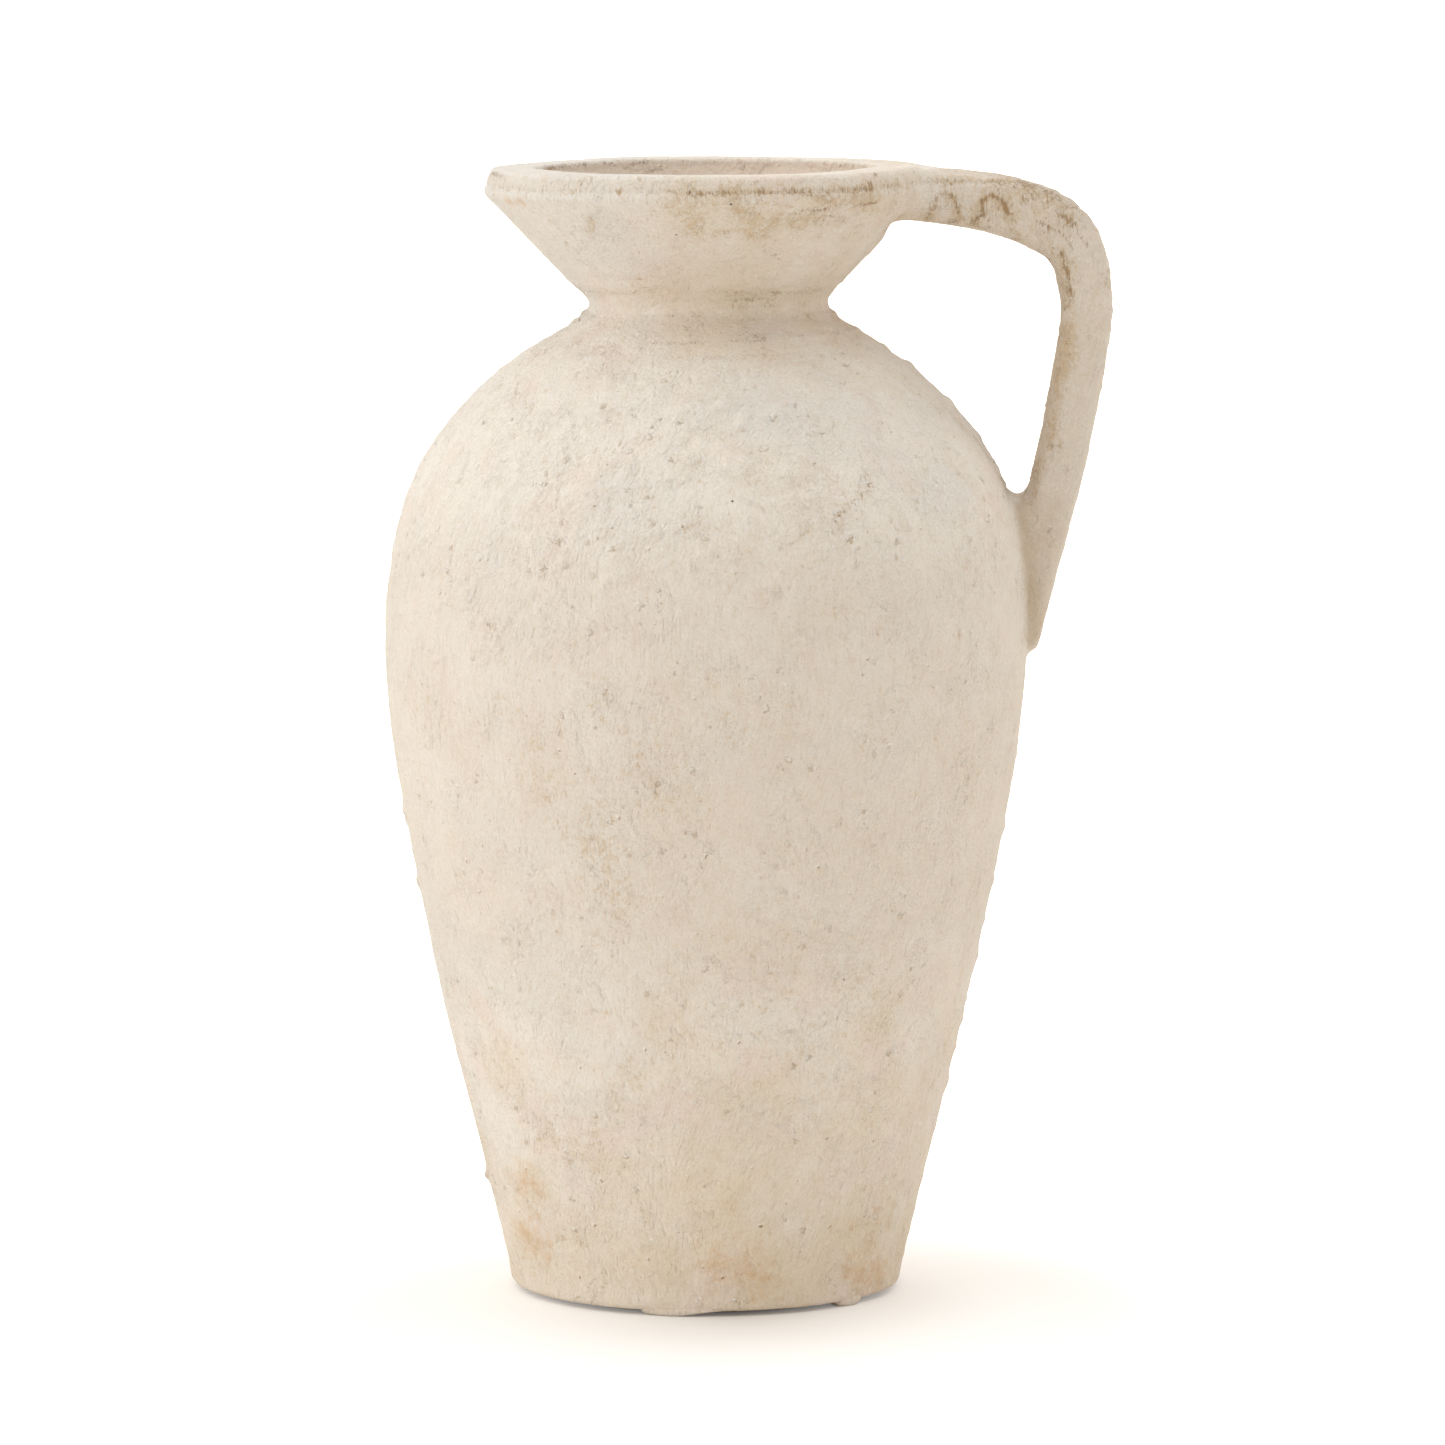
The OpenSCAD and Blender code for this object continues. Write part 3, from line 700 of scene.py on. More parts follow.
class Outline:
    """The vase's outer skin as a surface of bearing and distance along the section."""

    def __init__(self, form):
        lines = section(form)
        names = ("edge", "lower", "upper", "coil", "neck", "rim")
        self.line = np.vstack([lines[n][:-1] for n in names] + [lines["rim"][-1:]])
        self.line = self.line[np.concatenate([[True], np.any(np.diff(self.line, axis=0) != 0, axis=1)])]
        self.along = travelled(self.line)
        self.crown = int(np.argmax(self.line[:, 1]))

    def gap(self, points):
        """How far each point stands outside the skin, measured out from the axis."""
        outer = self.line[:self.crown + 1]
        return np.hypot(points[..., 0], points[..., 1]) - np.interp(points[..., 2], outer[:, 1], outer[:, 0])

    def place(self, points):
        """Bearing and distance along the section of points on the skin."""
        outer = slice(0, self.crown + 1)
        distance = np.interp(points[..., 2], self.line[outer, 1], self.along[outer])
        return np.stack([np.arctan2(points[..., 1], points[..., 0]), distance], axis=-1)

    def point(self, place):
        """The points at those bearings and distances."""
        radius, height = (np.interp(place[..., 1], self.along, column) for column in self.line.T)
        return np.stack([radius * np.cos(place[..., 0]), radius * np.sin(place[..., 0]), height], axis=-1)

    def path(self, marks):
        """Points close together along a line of bearings in degrees and heights in millimetres."""
        steps = np.linspace(0, len(marks) - 1, 6 * (len(marks) - 1) + 1)
        bearing, height = (np.interp(steps, range(len(marks)), column) for column in np.array(marks).T)
        outer = self.line[:self.crown + 1]
        radius = np.interp(height * MM, outer[:, 1], outer[:, 0])
        turn = np.radians(bearing)
        return np.stack([radius * np.cos(turn), radius * np.sin(turn), height * MM], axis=-1)


def nearness(points, path, width):
    """exp(-(d / width)^2), d being the distance from each point to a line of short straight stretches."""
    low, high = path.min(axis=0) - 3 * width, path.max(axis=0) + 3 * width
    close = np.flatnonzero(np.all((points > low) & (points < high), axis=1))
    here = points[close]
    least = np.full(len(close), np.inf)
    for a, b in zip(path[:-1], path[1:]):
        t = np.clip((here - a) @ (b - a) / ((b - a) @ (b - a)), 0, 1)
        least = np.minimum(least, np.sum((here - a - t[:, None] * (b - a)) ** 2, axis=1))
    total = np.zeros(len(points))
    total[close] = np.exp(-least / width ** 2)
    return total


def fields(points, outline):
    """Looks of the clay at each point, each field 0 to 1 or so. Rise is the relief. Dirt, stain and rust are
    the placed marks and what gathers round the lip, in the waist's throwing lines and on the handle; one
    stain mark low on the leg is painted shade. Warm tints the wash by height and side, less on the crown's
    inner edge, where a painted highlight also takes stain off. The handle's dulled wash is laid on the belly
    too, as painted shade, and painted shade lies low on the strap's sides, down the leg, on the lip's face
    and on the funnel and belly away from the left. Inside is bare clay, and coarse and lumpy say how broken
    the skin is."""
    x, y, height = points.T / MM
    reach = np.hypot(x, y)
    gap = outline.gap(points) / MM
    outside = ease((gap + 5) / 3)
    on_strap = ease((gap - 1) / (4 + 9 * ease((height - 295) / 40)))
    front = ease(-y / 6)
    left, right = ease((-x - 5) / 40), ease((x - 5) / 40) * outside
    rise = relief(points) / (0.4 * MM)
    broad, patchy, fine = noise(points, 24, 41), noise(points, 9, 42), noise(points, 3.5, 43)
    lines = noise(points, (45, 45, 1.7), 44)

    # The placed marks.
    total = {kind: np.zeros(len(points)) for kind in ("dirt", "stain", "rust")}
    for kind, width, amount, *marks in WALL_MARKS:
        total[kind] += amount * nearness(points, outline.path(marks), width * MM)
    flat = points * (1, 0, 1)
    for kind, width, amount, *marks in STRAP_MARKS:
        path = np.array([(px, 0, pz) for px, pz in marks]) * MM
        total[kind] += amount * front * on_strap * nearness(flat, path, width * MM)

    # Parts of the lip, the wall and the strap.
    lip_step = hump(height, 400.2, 1.3) * ease(reach - 73)
    # Painted highlight: a pale line along the crown's inner edge, clearing stain and warmth there.
    lip_edge_highlight = hump(reach, 62.9, 0.9) * ease(height - 404)
    lip_face = zone(height, "lip_face") * ease((reach - 72) / 3)
    crown = ease((height - 404.6) / 0.8) * band(reach, 64.5, 75, 1)
    mouth_ring = hump(height, 404.4, 1.0) * band(reach, 58, 62.2, 0.6)
    under_lip, waist, belly = (zone(height, name) * outside for name in ("under_lip", "waist_dirt", "belly"))
    arm = on_strap * ease((height - 372) / 16)
    knee = on_strap * ease(1.35 - away(x, height, KNEE_STAIN))
    leg_inside = on_strap * zone(height, "leg_inside") * ease((gap - 6) / -4 + 1)
    # Painted shade on the strap's side faces low on the leg, strongest near the wall.
    leg_side_shade = ease((np.abs(y) - 10) / 4) * ease(gap / 2.5) * zone(height, "leg_side_shade")

    # What gathers there, the tint of the wash, painted shade, and the painted highlight on the crown's inner
    # edge.
    total["dirt"] += lip_step * (0.10 + 0.12 * right) * ease(0.5 + patchy)
    total["dirt"] += 0.3 * lip_face * ease(2 * fine - 0.3)
    total["dirt"] += under_lip * (0.14 + 0.12 * right) * ease(0.4 + 1.2 * patchy)
    total["dirt"] += mouth_ring * (0.4 + 1.0 * left) * ease(0.45 + patchy) + 0.12 * crown * ease(0.2 + patchy)
    total["dirt"] += 0.36 * waist * ease(0.1 + 1.4 * lines) + 0.06 * arm * ease(0.3 + patchy)
    total["dirt"] += knee * (0.06 + 0.9 * ease(0.1 - 0.5 * rise + 0.9 * fine) * ease(0.5 + patchy))
    total["stain"] += lip_face * (1 - 0.6 * left) * (0.35 + 0.4 * patchy + 0.4 * fine)
    total["stain"] += 0.45 * crown * ease(0.4 + patchy) * ease((y + 10) / 30) - 0.8 * lip_edge_highlight
    total["stain"] += under_lip * (1 - 0.7 * left) * (0.35 + 0.30 * ease(0.4 + patchy))
    total["stain"] += 0.30 * ease(0.1 + 1.4 * broad) * outside
    total["stain"] += knee * (0.35 + 0.5 * patchy) + 0.8 * leg_inside
    warm = (0.32 * ease((280 - height) / 100) + (0.50 - 0.10 * left) * ease((130 - height) / 130)
            + waist * (0.48 - 0.30 * left) + (0.18 - 0.80 * left) * zone(height, "mouth") + 0.25 * broad
            - 1.2 * lip_edge_highlight - 0.24 * left)
    # The handle's dulled wash, and the same colour on the belly as painted shade.
    aged = np.maximum(on_strap, 0.75 * belly)
    # Painted shade: on the strap's sides low on the leg, a little down the whole leg, on the lip's face, and
    # on the funnel and belly away from the left.
    worn = (leg_side_shade * (0.45 + 0.5 * hump(gap, 2.5, 4)) + 0.28 * on_strap * zone(height, "leg")
            + 0.22 * lip_face + (1 - left) * (0.25 * zone(height, "funnel") * outside + 0.10 * belly))
    inside = ease((-gap - 3) / 3) * ease((405.5 - height) / 1.5)
    coarse = np.clip(0.3 + 0.7 * ease((190 - height) / 130) + 0.5 * knee + 0.3 * under_lip, 0, 1) * outside
    return {"rise": rise, **total, "warm": warm, "aged": aged, "worn": worn, "inside": inside,
            "coarse": coarse, "lumpy": rough_patches(points) * outside}


class Strap:
    """The handle's skin as a surface of travel along its middle line (0 to 1 the arm, to 2 the leg, to 3 the
    domed end) and share of the way round its section, from the outer face towards +Y."""

    def __init__(self, sizes):
        self.sizes = sizes
        root = np.array([sizes.root_radius, sizes.root_height])
        knee = np.array([sizes.reach, sizes.knee_height])
        tip = np.array([sizes.tip_radius, sizes.tip_height + TIP_DOME])
        self.arm = (root, root + [ARM_RUN, -ARM_FALL * ARM_RUN], knee + [0, KNEE_RUN], knee)
        self.leg = (knee, knee - [0, KNEE_RUN], tip + [TIP_LEAN * TIP_RUN, TIP_RUN], tip)
        angle = np.linspace(0, 2 * math.pi, 4001)
        ring = np.stack([sizes.arm_thickness * self.rounded(np.cos(angle)),
                         sizes.strap_width * self.rounded(np.sin(angle))], axis=1)
        along = travelled(ring)
        self.shares, self.angles = along / along[-1], angle

    @staticmethod
    def rounded(value):
        """Sine or cosine of a squared oval: the value's size to a power, with its sign."""
        return np.sign(value) * np.abs(value) ** (2 / SQUARENESS)

    def point(self, place):
        """Middle point plus thickness and width times the squared oval's cosine and sine."""
        s = self.sizes
        travel, angle = place[..., 0], np.interp(place[..., 1] % 1, self.shares, self.angles)
        arm, leg = np.clip(travel, 0, 1), np.clip(travel - 1, 0, 1)
        turn = np.clip(travel - 2, 0, 1) * math.pi / 2
        on_leg = (travel > 1)[..., None]
        middle = np.where(on_leg, bezier(leg, *self.leg), bezier(arm, *self.arm))
        way = np.where(on_leg, bezier_slope(leg, *self.leg), bezier_slope(arm, *self.arm))
        thick = (s.root_thickness + (s.arm_thickness - s.root_thickness) * ease(2 * arm)
                 + (s.leg_thickness - s.arm_thickness) * ease(2 * arm - 1))
        wide = s.strap_width + s.strap_spread * (1 - ease(arm / SPREAD_LENGTH)
                                                 + ease((leg + SPREAD_LENGTH - 1) / SPREAD_LENGTH))
        middle = middle + TIP_DOME * np.sin(turn)[..., None] * way
        across = thick / 2 * np.cos(turn) * self.rounded(np.cos(angle))
        side = wide / 2 * np.cos(turn) * self.rounded(np.sin(angle))
        return np.stack([middle[..., 0] - way[..., 1] * across, side,
                         middle[..., 1] + way[..., 0] * across], axis=-1)

    def crossings(self, outline, shares):
        """Travel at which each line along the strap leaves the vase's skin, and at which it goes in again."""
        travel = np.linspace(0, 3, 3001)
        gap = outline.gap(self.point(np.stack(np.meshgrid(travel, shares, indexing="ij"), axis=-1)))

        def zero(row):
            column = np.arange(len(shares))
            before, after = gap[row, column], gap[row + 1, column]
            return travel[row] + (travel[row + 1] - travel[row]) * before / (before - after)

        crossing = np.diff(np.sign(gap), axis=0) != 0
        # The last crossing on the arm, and the first on the leg.
        early, late = travel[:-1, None] < 0.8, travel[:-1, None] > 1.2
        out = len(travel) - 2 - np.argmax((crossing & early)[::-1], axis=0)
        back = np.argmax(crossing & late, axis=0)
        return zero(out), zero(back)


def slopes(surface, place):
    """The surface's point at each place, and its two slopes by small steps of the parameters."""
    step = 1e-4
    here = surface.point(place)
    along, across = ((surface.point(place + way) - here) / step for way in ([step, 0], [0, step]))
    return here, along, across


def nearest(surface, place, target):
    """The place of the surface's point nearest each target, from a nearby place, by Gauss-Newton steps."""
    for _ in range(6):
        here, along, across = slopes(surface, place)
        miss = target - here
        aa, ab, bb = (np.sum(p * q, axis=-1) for p, q in ((along, along), (along, across), (across, across)))
        am, bm = np.sum(along * miss, axis=-1), np.sum(across * miss, axis=-1)
        size = aa * bb - ab * ab
        place = place + np.stack([bb * am - ab * bm, aa * bm - ab * am], axis=-1) / size[..., None]
    return place


def normal_at(surface, place):
    """Outward normal of the surface."""
    _, along, across = slopes(surface, place)
    return unit(np.cross(along, across))


def softened(values, passes=30):
    """Values round a loop, averaged with their neighbours a number of times."""
    for _ in range(passes):
        values = (np.roll(values, 1, axis=0) + 2 * values + np.roll(values, -1, axis=0)) / 4
    return values


def square_to(vectors, normals):
    """The vectors' directions along a surface, their part along its normals taken off."""
    return unit(vectors - np.sum(vectors * normals, axis=-1, keepdims=True) * normals)


def saddle(strap, outline, end, on_strap, on_wall, fullness):
    """Luting clay round one end of the strap, as two grids. The loop where strap and wall meet is moved up
    the strap and out over the wall, by lengths that depend on the share of the way round. Cubic curves that
    leave the one skin and arrive on the other fill the corner, pulled into it by the fullness. The first and
    the last row dive under the skins, and the back follows the corner. The loop runs so that the front faces
    out."""
    shares = np.linspace(0, 1, 721)
    travel = strap.crossings(outline, shares)[end]
    along = travelled(strap.point(np.stack([travel, shares], axis=-1)))
    wanted = np.linspace(0, along[-1], LUTE_LOOP, endpoint=False)
    strap_place = np.stack([np.interp(wanted, along, travel), np.interp(wanted, along, shares)], axis=-1)
    strap_place = strap_place[::(1, -1)[end]]
    meeting = strap.point(strap_place)
    wall_place = outline.place(meeting)
    strap_normal, wall_normal = normal_at(strap, strap_place), normal_at(outline, wall_place)
    up_strap = unit(softened(square_to(wall_normal, strap_normal), 6))
    over_wall = unit(softened(square_to(strap_normal, wall_normal), 6))
    strap_run = softened(on_strap(strap_place[:, 1]))[:, None]
    wall_run = softened(on_wall(strap_place[:, 1]))[:, None]
    top = nearest(strap, strap_place, meeting + strap_run * up_strap)
    low = nearest(outline, wall_place, meeting + wall_run * over_wall)
    start, finish = strap.point(top), outline.point(low)
    start_normal, finish_normal = normal_at(strap, top), normal_at(outline, low)
    leave = square_to(meeting - start, start_normal)
    arrive = square_to(finish - meeting, finish_normal)
    pull = fullness(strap_place[:, 1])[:, None]
    curve = (start, start + pull * strap_run * leave, finish - pull * wall_run * arrive, finish)
    fill = np.stack([bezier(t, *curve) for t in np.linspace(0, 1, LUTE_ROWS)])
    front = np.concatenate([(start - LUTE_PAST * leave - LUTE_DIVE * start_normal)[None], fill,
                            (finish + LUTE_PAST * arrive - LUTE_DIVE * finish_normal)[None]])
    back = np.stack([front[-1], outline.point((low + wall_place) / 2) - LUTE_SUNK * wall_normal,
                     meeting - LUTE_SUNK * unit(strap_normal + wall_normal),
                     strap.point((top + strap_place) / 2) - LUTE_SUNK * strap_normal, front[0]])
    return front, back, start_normal, finish_normal


class Socket:
    """A value in a shader tree. Arithmetic with numbers or other values adds Math nodes."""

    def __init__(self, shader, socket):
        self.shader, self.socket = shader, socket

    def _math(self, operation, *operands, clamp=False):
        settings = {"operation": operation, "use_clamp": clamp}
        return self.shader.node('ShaderNodeMath', settings, dict(enumerate(operands)))

    def __add__(self, other):
        return self._math('ADD', self, other)

    def __sub__(self, other):
        return self._math('SUBTRACT', self, other)

    def __rsub__(self, other):
        return self._math('SUBTRACT', other, self)

    def __mul__(self, other):
        return self._math('MULTIPLY', self, other)

    __radd__, __rmul__ = __add__, __mul__

    def clamped(self):
        """The value held between 0 and 1."""
        return self._math('ADD', self, 0, clamp=True)

    def step(self, low, high):
        """0 below low, 1 above high and a smooth step between; low may be the greater."""
        return self.shader.node('ShaderNodeMapRange', {"interpolation_type": 'SMOOTHSTEP'},
                                {"Value": self, "From Min": low, "From Max": high})


class Shader:
    """A material whose node tree is written as expressions."""

    def __init__(self, name):
        self.material = bpy.data.materials.new(name)
        self.material.use_nodes = True
        self.tree = self.material.node_tree
        self.surface = self.tree.nodes["Principled BSDF"]

    def node(self, kind, settings, inputs, output=0):
        """One output of a new node of that type, with its settings made and its sockets set or linked."""
        node = self.tree.nodes.new(kind)
        for name, value in settings.items():
            setattr(node, name, value)
        self.fill(node, inputs)
        return Socket(self, node.outputs[output])

    def fill(self, node, inputs):
        """Sets a node's sockets by name or number to values or links."""
        for key, value in inputs.items():
            if isinstance(value, Socket):
                self.tree.links.new(value.socket, node.inputs[key])
            else:
                node.inputs[key].default_value = value

    def field(self, name):
        """A field stored on the mesh's points."""
        return self.node('ShaderNodeAttribute', {"attribute_name": name}, {}, "Fac")

    def vector(self, operation, *operands, output=0):
        """A Vector Math node's result."""
        return self.node('ShaderNodeVectorMath', {"operation": operation}, dict(enumerate(operands)), output)

    def place(self, sizes, turn=(0, 0, 0)):
        """Object coordinates, turned and then divided by three sizes in millimetres."""
        coordinates = self.node('ShaderNodeTexCoord', {}, {}, "Object")
        turned_place = self.node('ShaderNodeMapping', {"vector_type": 'POINT'},
                                 {"Vector": coordinates, "Rotation": turn})
        return self.vector('MULTIPLY', turned_place, tuple(1 / (MM * size) for size in sizes))

    def noise(self, sizes, detail, roughness=0.55, turn=(0, 0, 0)):
        """Blender's noise from 0 to 1, features of those sizes in millimetres."""
        sizes = sizes if isinstance(sizes, tuple) else (sizes,) * 3
        return self.node('ShaderNodeTexNoise', {}, {"Vector": self.place(sizes, turn), "Scale": 1.0,
                                                    "Detail": detail, "Roughness": roughness}, "Fac")

    def cells(self, size, warp, shift=(0, 0, 0)):
        """Distance to the nearest of random points, about one for each cube of that size in millimetres. Warp
        is how far a finer noise moves the place, in cubes. Shift moves the whole pattern, in millimetres."""
        place = self.place((size,) * 3)
        wander = self.node('ShaderNodeTexNoise', {}, {"Vector": place, "Scale": 4.0, "Detail": 2.0}, "Color")
        offset = tuple(-0.5 * warp - step / size for step in shift)
        place = self.vector('MULTIPLY_ADD', wander, (warp,) * 3, self.vector('ADD', place, offset))
        return self.node('ShaderNodeTexVoronoi', {}, {"Vector": place, "Scale": 1.0}, "Distance")

    def mix(self, factor, first, second):
        """Two colours mixed by a factor."""
        return self.node('ShaderNodeMix', {"data_type": 'RGBA', "clamp_factor": True},
                         {0: factor, 6: first, 7: second}, 2)


def opaque(value):
    """A colour property as four numbers."""
    return (*value, 1.0)


def limewash(name, finish, bare):
    """Chalky wash over clay, as colours laid over one another: washes by the fields and broad clouds, painted
    shade from the fields, bare clay inside, rust, tan stains broken up by flecks and fibres, painted shade on
    the lower right of each crumb and in the plaster's hollows, painted highlights on the upper left of crumbs
    and dots, specks and dots, dirt drawn out in fibres, brush strokes and pin holes. Bump: plaster, grain,
    flecks, strokes, crumbs and holes. Bare is the share of unwashed clay all over."""
    s = Shader(name)
    rise, dirt, stain, rust = (s.field(f) for f in ("rise", "dirt", "stain", "rust"))
    warm, aged, worn = (s.field(f) for f in ("warm", "aged", "worn"))
    inside, coarse, lumpy = (s.field(f) for f in ("inside", "coarse", "lumpy"))

    # Patterns, from broad to fine.
    cloud, drift, blush = s.noise(27, 4), s.noise(48, 3), s.noise(21, 4)
    mottle, fleck, grain = s.noise(6, 4, 0.62), s.noise(2.2, 3, 0.6), s.noise(0.8, 2)
    plaster = s.noise(7.5, 4, 0.62)
    fibre = s.noise((0.8, 0.8, 2.6), 4, 0.7)
    slanted = s.noise((1.0, 1.0, 8), 3, 0.6, (0, -0.35, 0))
    upright = s.noise((1.1, 1.1, 10), 3, 0.6)
    strokes = slanted * drift.step(0.42, 0.55) + upright * drift.step(0.55, 0.42)

    # How much of each thing there is.
    rough = (s.noise(18, 3).step(0.46, 0.64) + lumpy * 0.6 - 0.15).clamped()
    broken = (rough * 0.7 + coarse * 0.20 + stain * 0.2).clamped()
    crumbs = s.cells(6.5, 0.75).step(0.19, 0.11) * broken
    # Painted highlight on the upper left of each crumb, weaker on the handle.
    crumb_highlights = s.cells(6.5, 0.75, (-0.4, 0, 0.4)).step(0.16, 0.09) * broken * (1.2 - aged * 0.8)
    # Painted shade: a tan and brown crescent on the lower right of each crumb.
    crumb_shade = (s.cells(6.5, 0.75, (0.45, 0, -0.4)).step(0.20, 0.14) - crumbs).clamped() * broken
    specks = s.cells(2.2, 0.6).step(0.24, 0.08) * (rough * 0.15 + stain * 0.6 + 0.03).clamped()
    spots = 0.25 + rough * 0.4 + coarse * 0.35
    dots = s.cells(9, 0.3).step(0.075, 0.040) * spots
    # Painted highlight on the upper left of each dot.
    glints = s.cells(9, 0.3, (-0.7, 0, 0.7)).step(0.085, 0.040) * spots
    holes = s.cells(25, 0).step(0.021, 0.011)
    # Painted shade: tan in the low parts of the plaster pattern, standing in for the shade of its hollows.
    hollow_shade = (plaster + (fleck - 0.5) * 0.5).step(0.46, 0.34) * (0.3 + rough * 0.7)
    warmth = (warm * 0.9 + (cloud - 0.5) * 1.1 + (mottle - 0.5) * 0.5).clamped()
    orange = (rust + (mottle - 0.5) * 1.9 + (fleck - 0.5) * 1.4).step(0.15, 1.5)
    tan = stain * 0.7 + (fleck - 0.5) * 2.0 + (mottle - 0.5) * 1.1 + (fibre - 0.5) * 2.2 - rise * 0.12
    grime = (dirt * 0.75 + (fibre - 0.5) * 3.4 + (mottle - 0.5) * 0.9 - rise * 0.08).step(0.28, 1.00)
    grime = grime * dirt.step(0.0, 0.25)

    paint = opaque(finish.wash)
    for cover, tint in (
            (warmth, finish.warm),
            (blush.step(0.50, 0.66) * 0.6, finish.blush),
            ((drift.step(0.50, 0.68) * 0.6 - warm * 0.8).clamped(), finish.cool),
            # The handle's dulled wash, and painted shade on the belly.
            (aged * (0.75 + (cloud - 0.5) * 0.8).clamped(), finish.aged),
            # Painted shade, mottled.
            ((worn * (0.75 + mottle * 0.5)).clamped(), finish.worn),
            ((inside * 0.85 + bare).clamped(), finish.clay),
            (orange * 0.75, finish.rust),
            (tan.step(0.28, 1.25) * 0.62, finish.stain),
            # Painted shade of crumbs and of the plaster's hollows in the stain colour, then dirt specks and
            # dots with more painted crumb shade in the dirt colour.
            ((crumb_shade * 0.5 + hollow_shade * 0.12).clamped(), finish.stain),
            ((specks * 0.5 + dots * 0.9 + crumb_shade * 0.25).clamped(), finish.dirt),
            # Painted highlights on crumbs and dots.
            ((crumb_highlights * 0.9 + glints * 0.8).clamped(), finish.painted_highlight),
            (grime * 0.72, finish.dirt),
            ((grain * 0.7 + strokes * 0.7 - 0.64).clamped(), finish.stain),
            (holes * 0.85, finish.pin)):
        paint = s.mix(cover, paint, opaque(tint))

    height = (plaster * (0.5 + rough * 0.9) * (0.95 + coarse * 0.2) + grain * (0.30 + stain * 0.2)
              + fleck * (0.35 + rough * 0.25 + stain * 0.2) + strokes * (0.38 + coarse * 0.45)
              + crumbs * 0.4 - holes * 1.5 - grime * 0.12)
    bump = s.node('ShaderNodeBump', {}, {"Strength": 1.0, "Distance": 1.4 * MM, "Height": height})
    s.fill(s.surface, {"Base Color": paint, "Roughness": 0.86 + grain * 0.12,
                       "Specular IOR Level": 0.2, "Normal": bump})
    return s.material


class VASE_OT_thrown(bpy.types.Operator):
    """Build the slab, the two wall sections, the coil in the waist, the neck and the rim"""
    bl_idname = "vase.thrown"
    bl_label = "Thrown pieces"

    def execute(self, context):
        form = context.scene.vase_form
        lines, outline = section(form), Outline(form)
        angles = np.linspace(0, 2 * math.pi, AROUND, endpoint=False)
        whole, part, start = [], {}, 0
        for name, count in ROWS.items():
            whole.append(evenly(lines[name], count)[:-1])
            part[name] = slice(start, start + count + 1)
            start += count
        whole = np.vstack(whole + [[[0, form.slab_top]]])
        # The relief fades out towards the floor, and is weaker inside.
        amount = ease(whole[:, 1:] / (5 * MM))
        amount[part["neck_inside"].start:] = INSIDE_RELIEF
        skin = dressed(turned(whole, angles), turned_normals(whole, angles), form, amount)
        skin.normals[0], skin.normals[-1] = (0, 0, -1), (0, 0, 1)
        patch = {name: skin.rows(rows) for name, rows in part.items()}

        def hidden(name, first, last):
            """A hidden line turned round the axis, its ends brought on to the rows that it joins and its
            middle pressed in a little."""
            line = evenly(lines[name], 8)
            base = turned(line, angles)
            t = np.linspace(0, 1, 9)[:, None, None]
            points = base + (1 - t) * (first - base[0]) + t * (last - base[-1])
            return Patch(points - HIDDEN_BULGE * np.sqrt(t * (1 - t)) * turned_normals(line, angles), base)

        waist = settle_by_hand(turned(lines["neck_under_coil"][:1], angles), form)[0]
        under = hidden("under_coil", patch["upper"].points[-1], waist)
        neck_under = hidden("neck_under_coil", waist, patch["neck"].points[0])
        pieces = {
            "base_slab": [patch["underside"], patch["edge"],
                          between(patch["edge"], patch["floor"]), patch["floor"]],
            "lower_wall": [patch["lower"], between(patch["lower"], patch["lower_inside"]),
                           patch["lower_inside"], between(patch["lower_inside"], patch["lower"])],
            "upper_wall": [patch["upper"], under, between(under, patch["upper_inside"]),
                           patch["upper_inside"], between(patch["upper_inside"], patch["upper"])],
            "neck_coil": [patch["coil"], neck_under.flipped(), under.flipped()],
            "neck": [neck_under, patch["neck"], between(patch["neck"], patch["neck_inside"]),
                     patch["neck_inside"], between(patch["neck_inside"], neck_under)],
            "rim_band": [patch["rim"], between(patch["rim"], patch["rim"])],
        }
        material = limewash("limewash", context.scene.vase_finish, 0.0)
        for node, patches in pieces.items():
            mesh = mesh_of(node, [Shell(patches, node == "base_slab")], material, outline)
            add_piece(node, mesh)
        return {'FINISHED'}


class VASE_OT_coils(bpy.types.Operator):
    """Build the coils of soft clay on the floor's corner and on the belly seam inside"""
    bl_idname = "vase.coils"
    bl_label = "Inside coils"

    def execute(self, context):
        form = context.scene.vase_form
        lines, outline = section(form), Outline(form)
        angles = np.linspace(0, 2 * math.pi, AROUND // 2, endpoint=False)
        wall = np.vstack([lines["lower_inside"][:0:-1], lines["upper_inside"][:0:-1]])
        foot = wall[0]
        t = np.linspace(0, 1, 25)

        def on_wall(heights):
            """Points on the wall's inside at those heights."""
            return np.stack([np.interp(heights, wall[:, 1], wall[:, 0]), heights], axis=1)

        up_wall = on_wall(foot[1:] + FLOOR_COIL)[0]
        seam = on_wall(form.belly_height + SEAM_COIL * (2 * t - 1))
        swell = SEAM_COIL_EDGE + SEAM_COIL_SWELL * np.sin(math.pi * t)
        on_floor = foot - [FLOOR_COIL, 0]
        profiles = {
            "floor_coil": (quadratic(t, up_wall, foot, on_floor), np.vstack([on_floor, foot, up_wall])),
            "seam_coil": ((seam - np.stack([swell, 0 * t], axis=1))[::-1], seam + [SEAM_COIL_SUNK, 0]),
        }
        material = limewash("bare_clay", context.scene.vase_finish, 0.75)
        for node, (face, back) in profiles.items():
            front = dressed(turned(face, angles), turned_normals(face, angles), form, INSIDE_RELIEF)
            rear = settle_by_hand(turned(back, angles), form)
            rear[0], rear[-1] = front.points[-1], front.points[0]
            mesh = mesh_of(node, [Shell([front, Patch(rear)], False)], material, outline)
            add_piece(node, mesh)
        return {'FINISHED'}


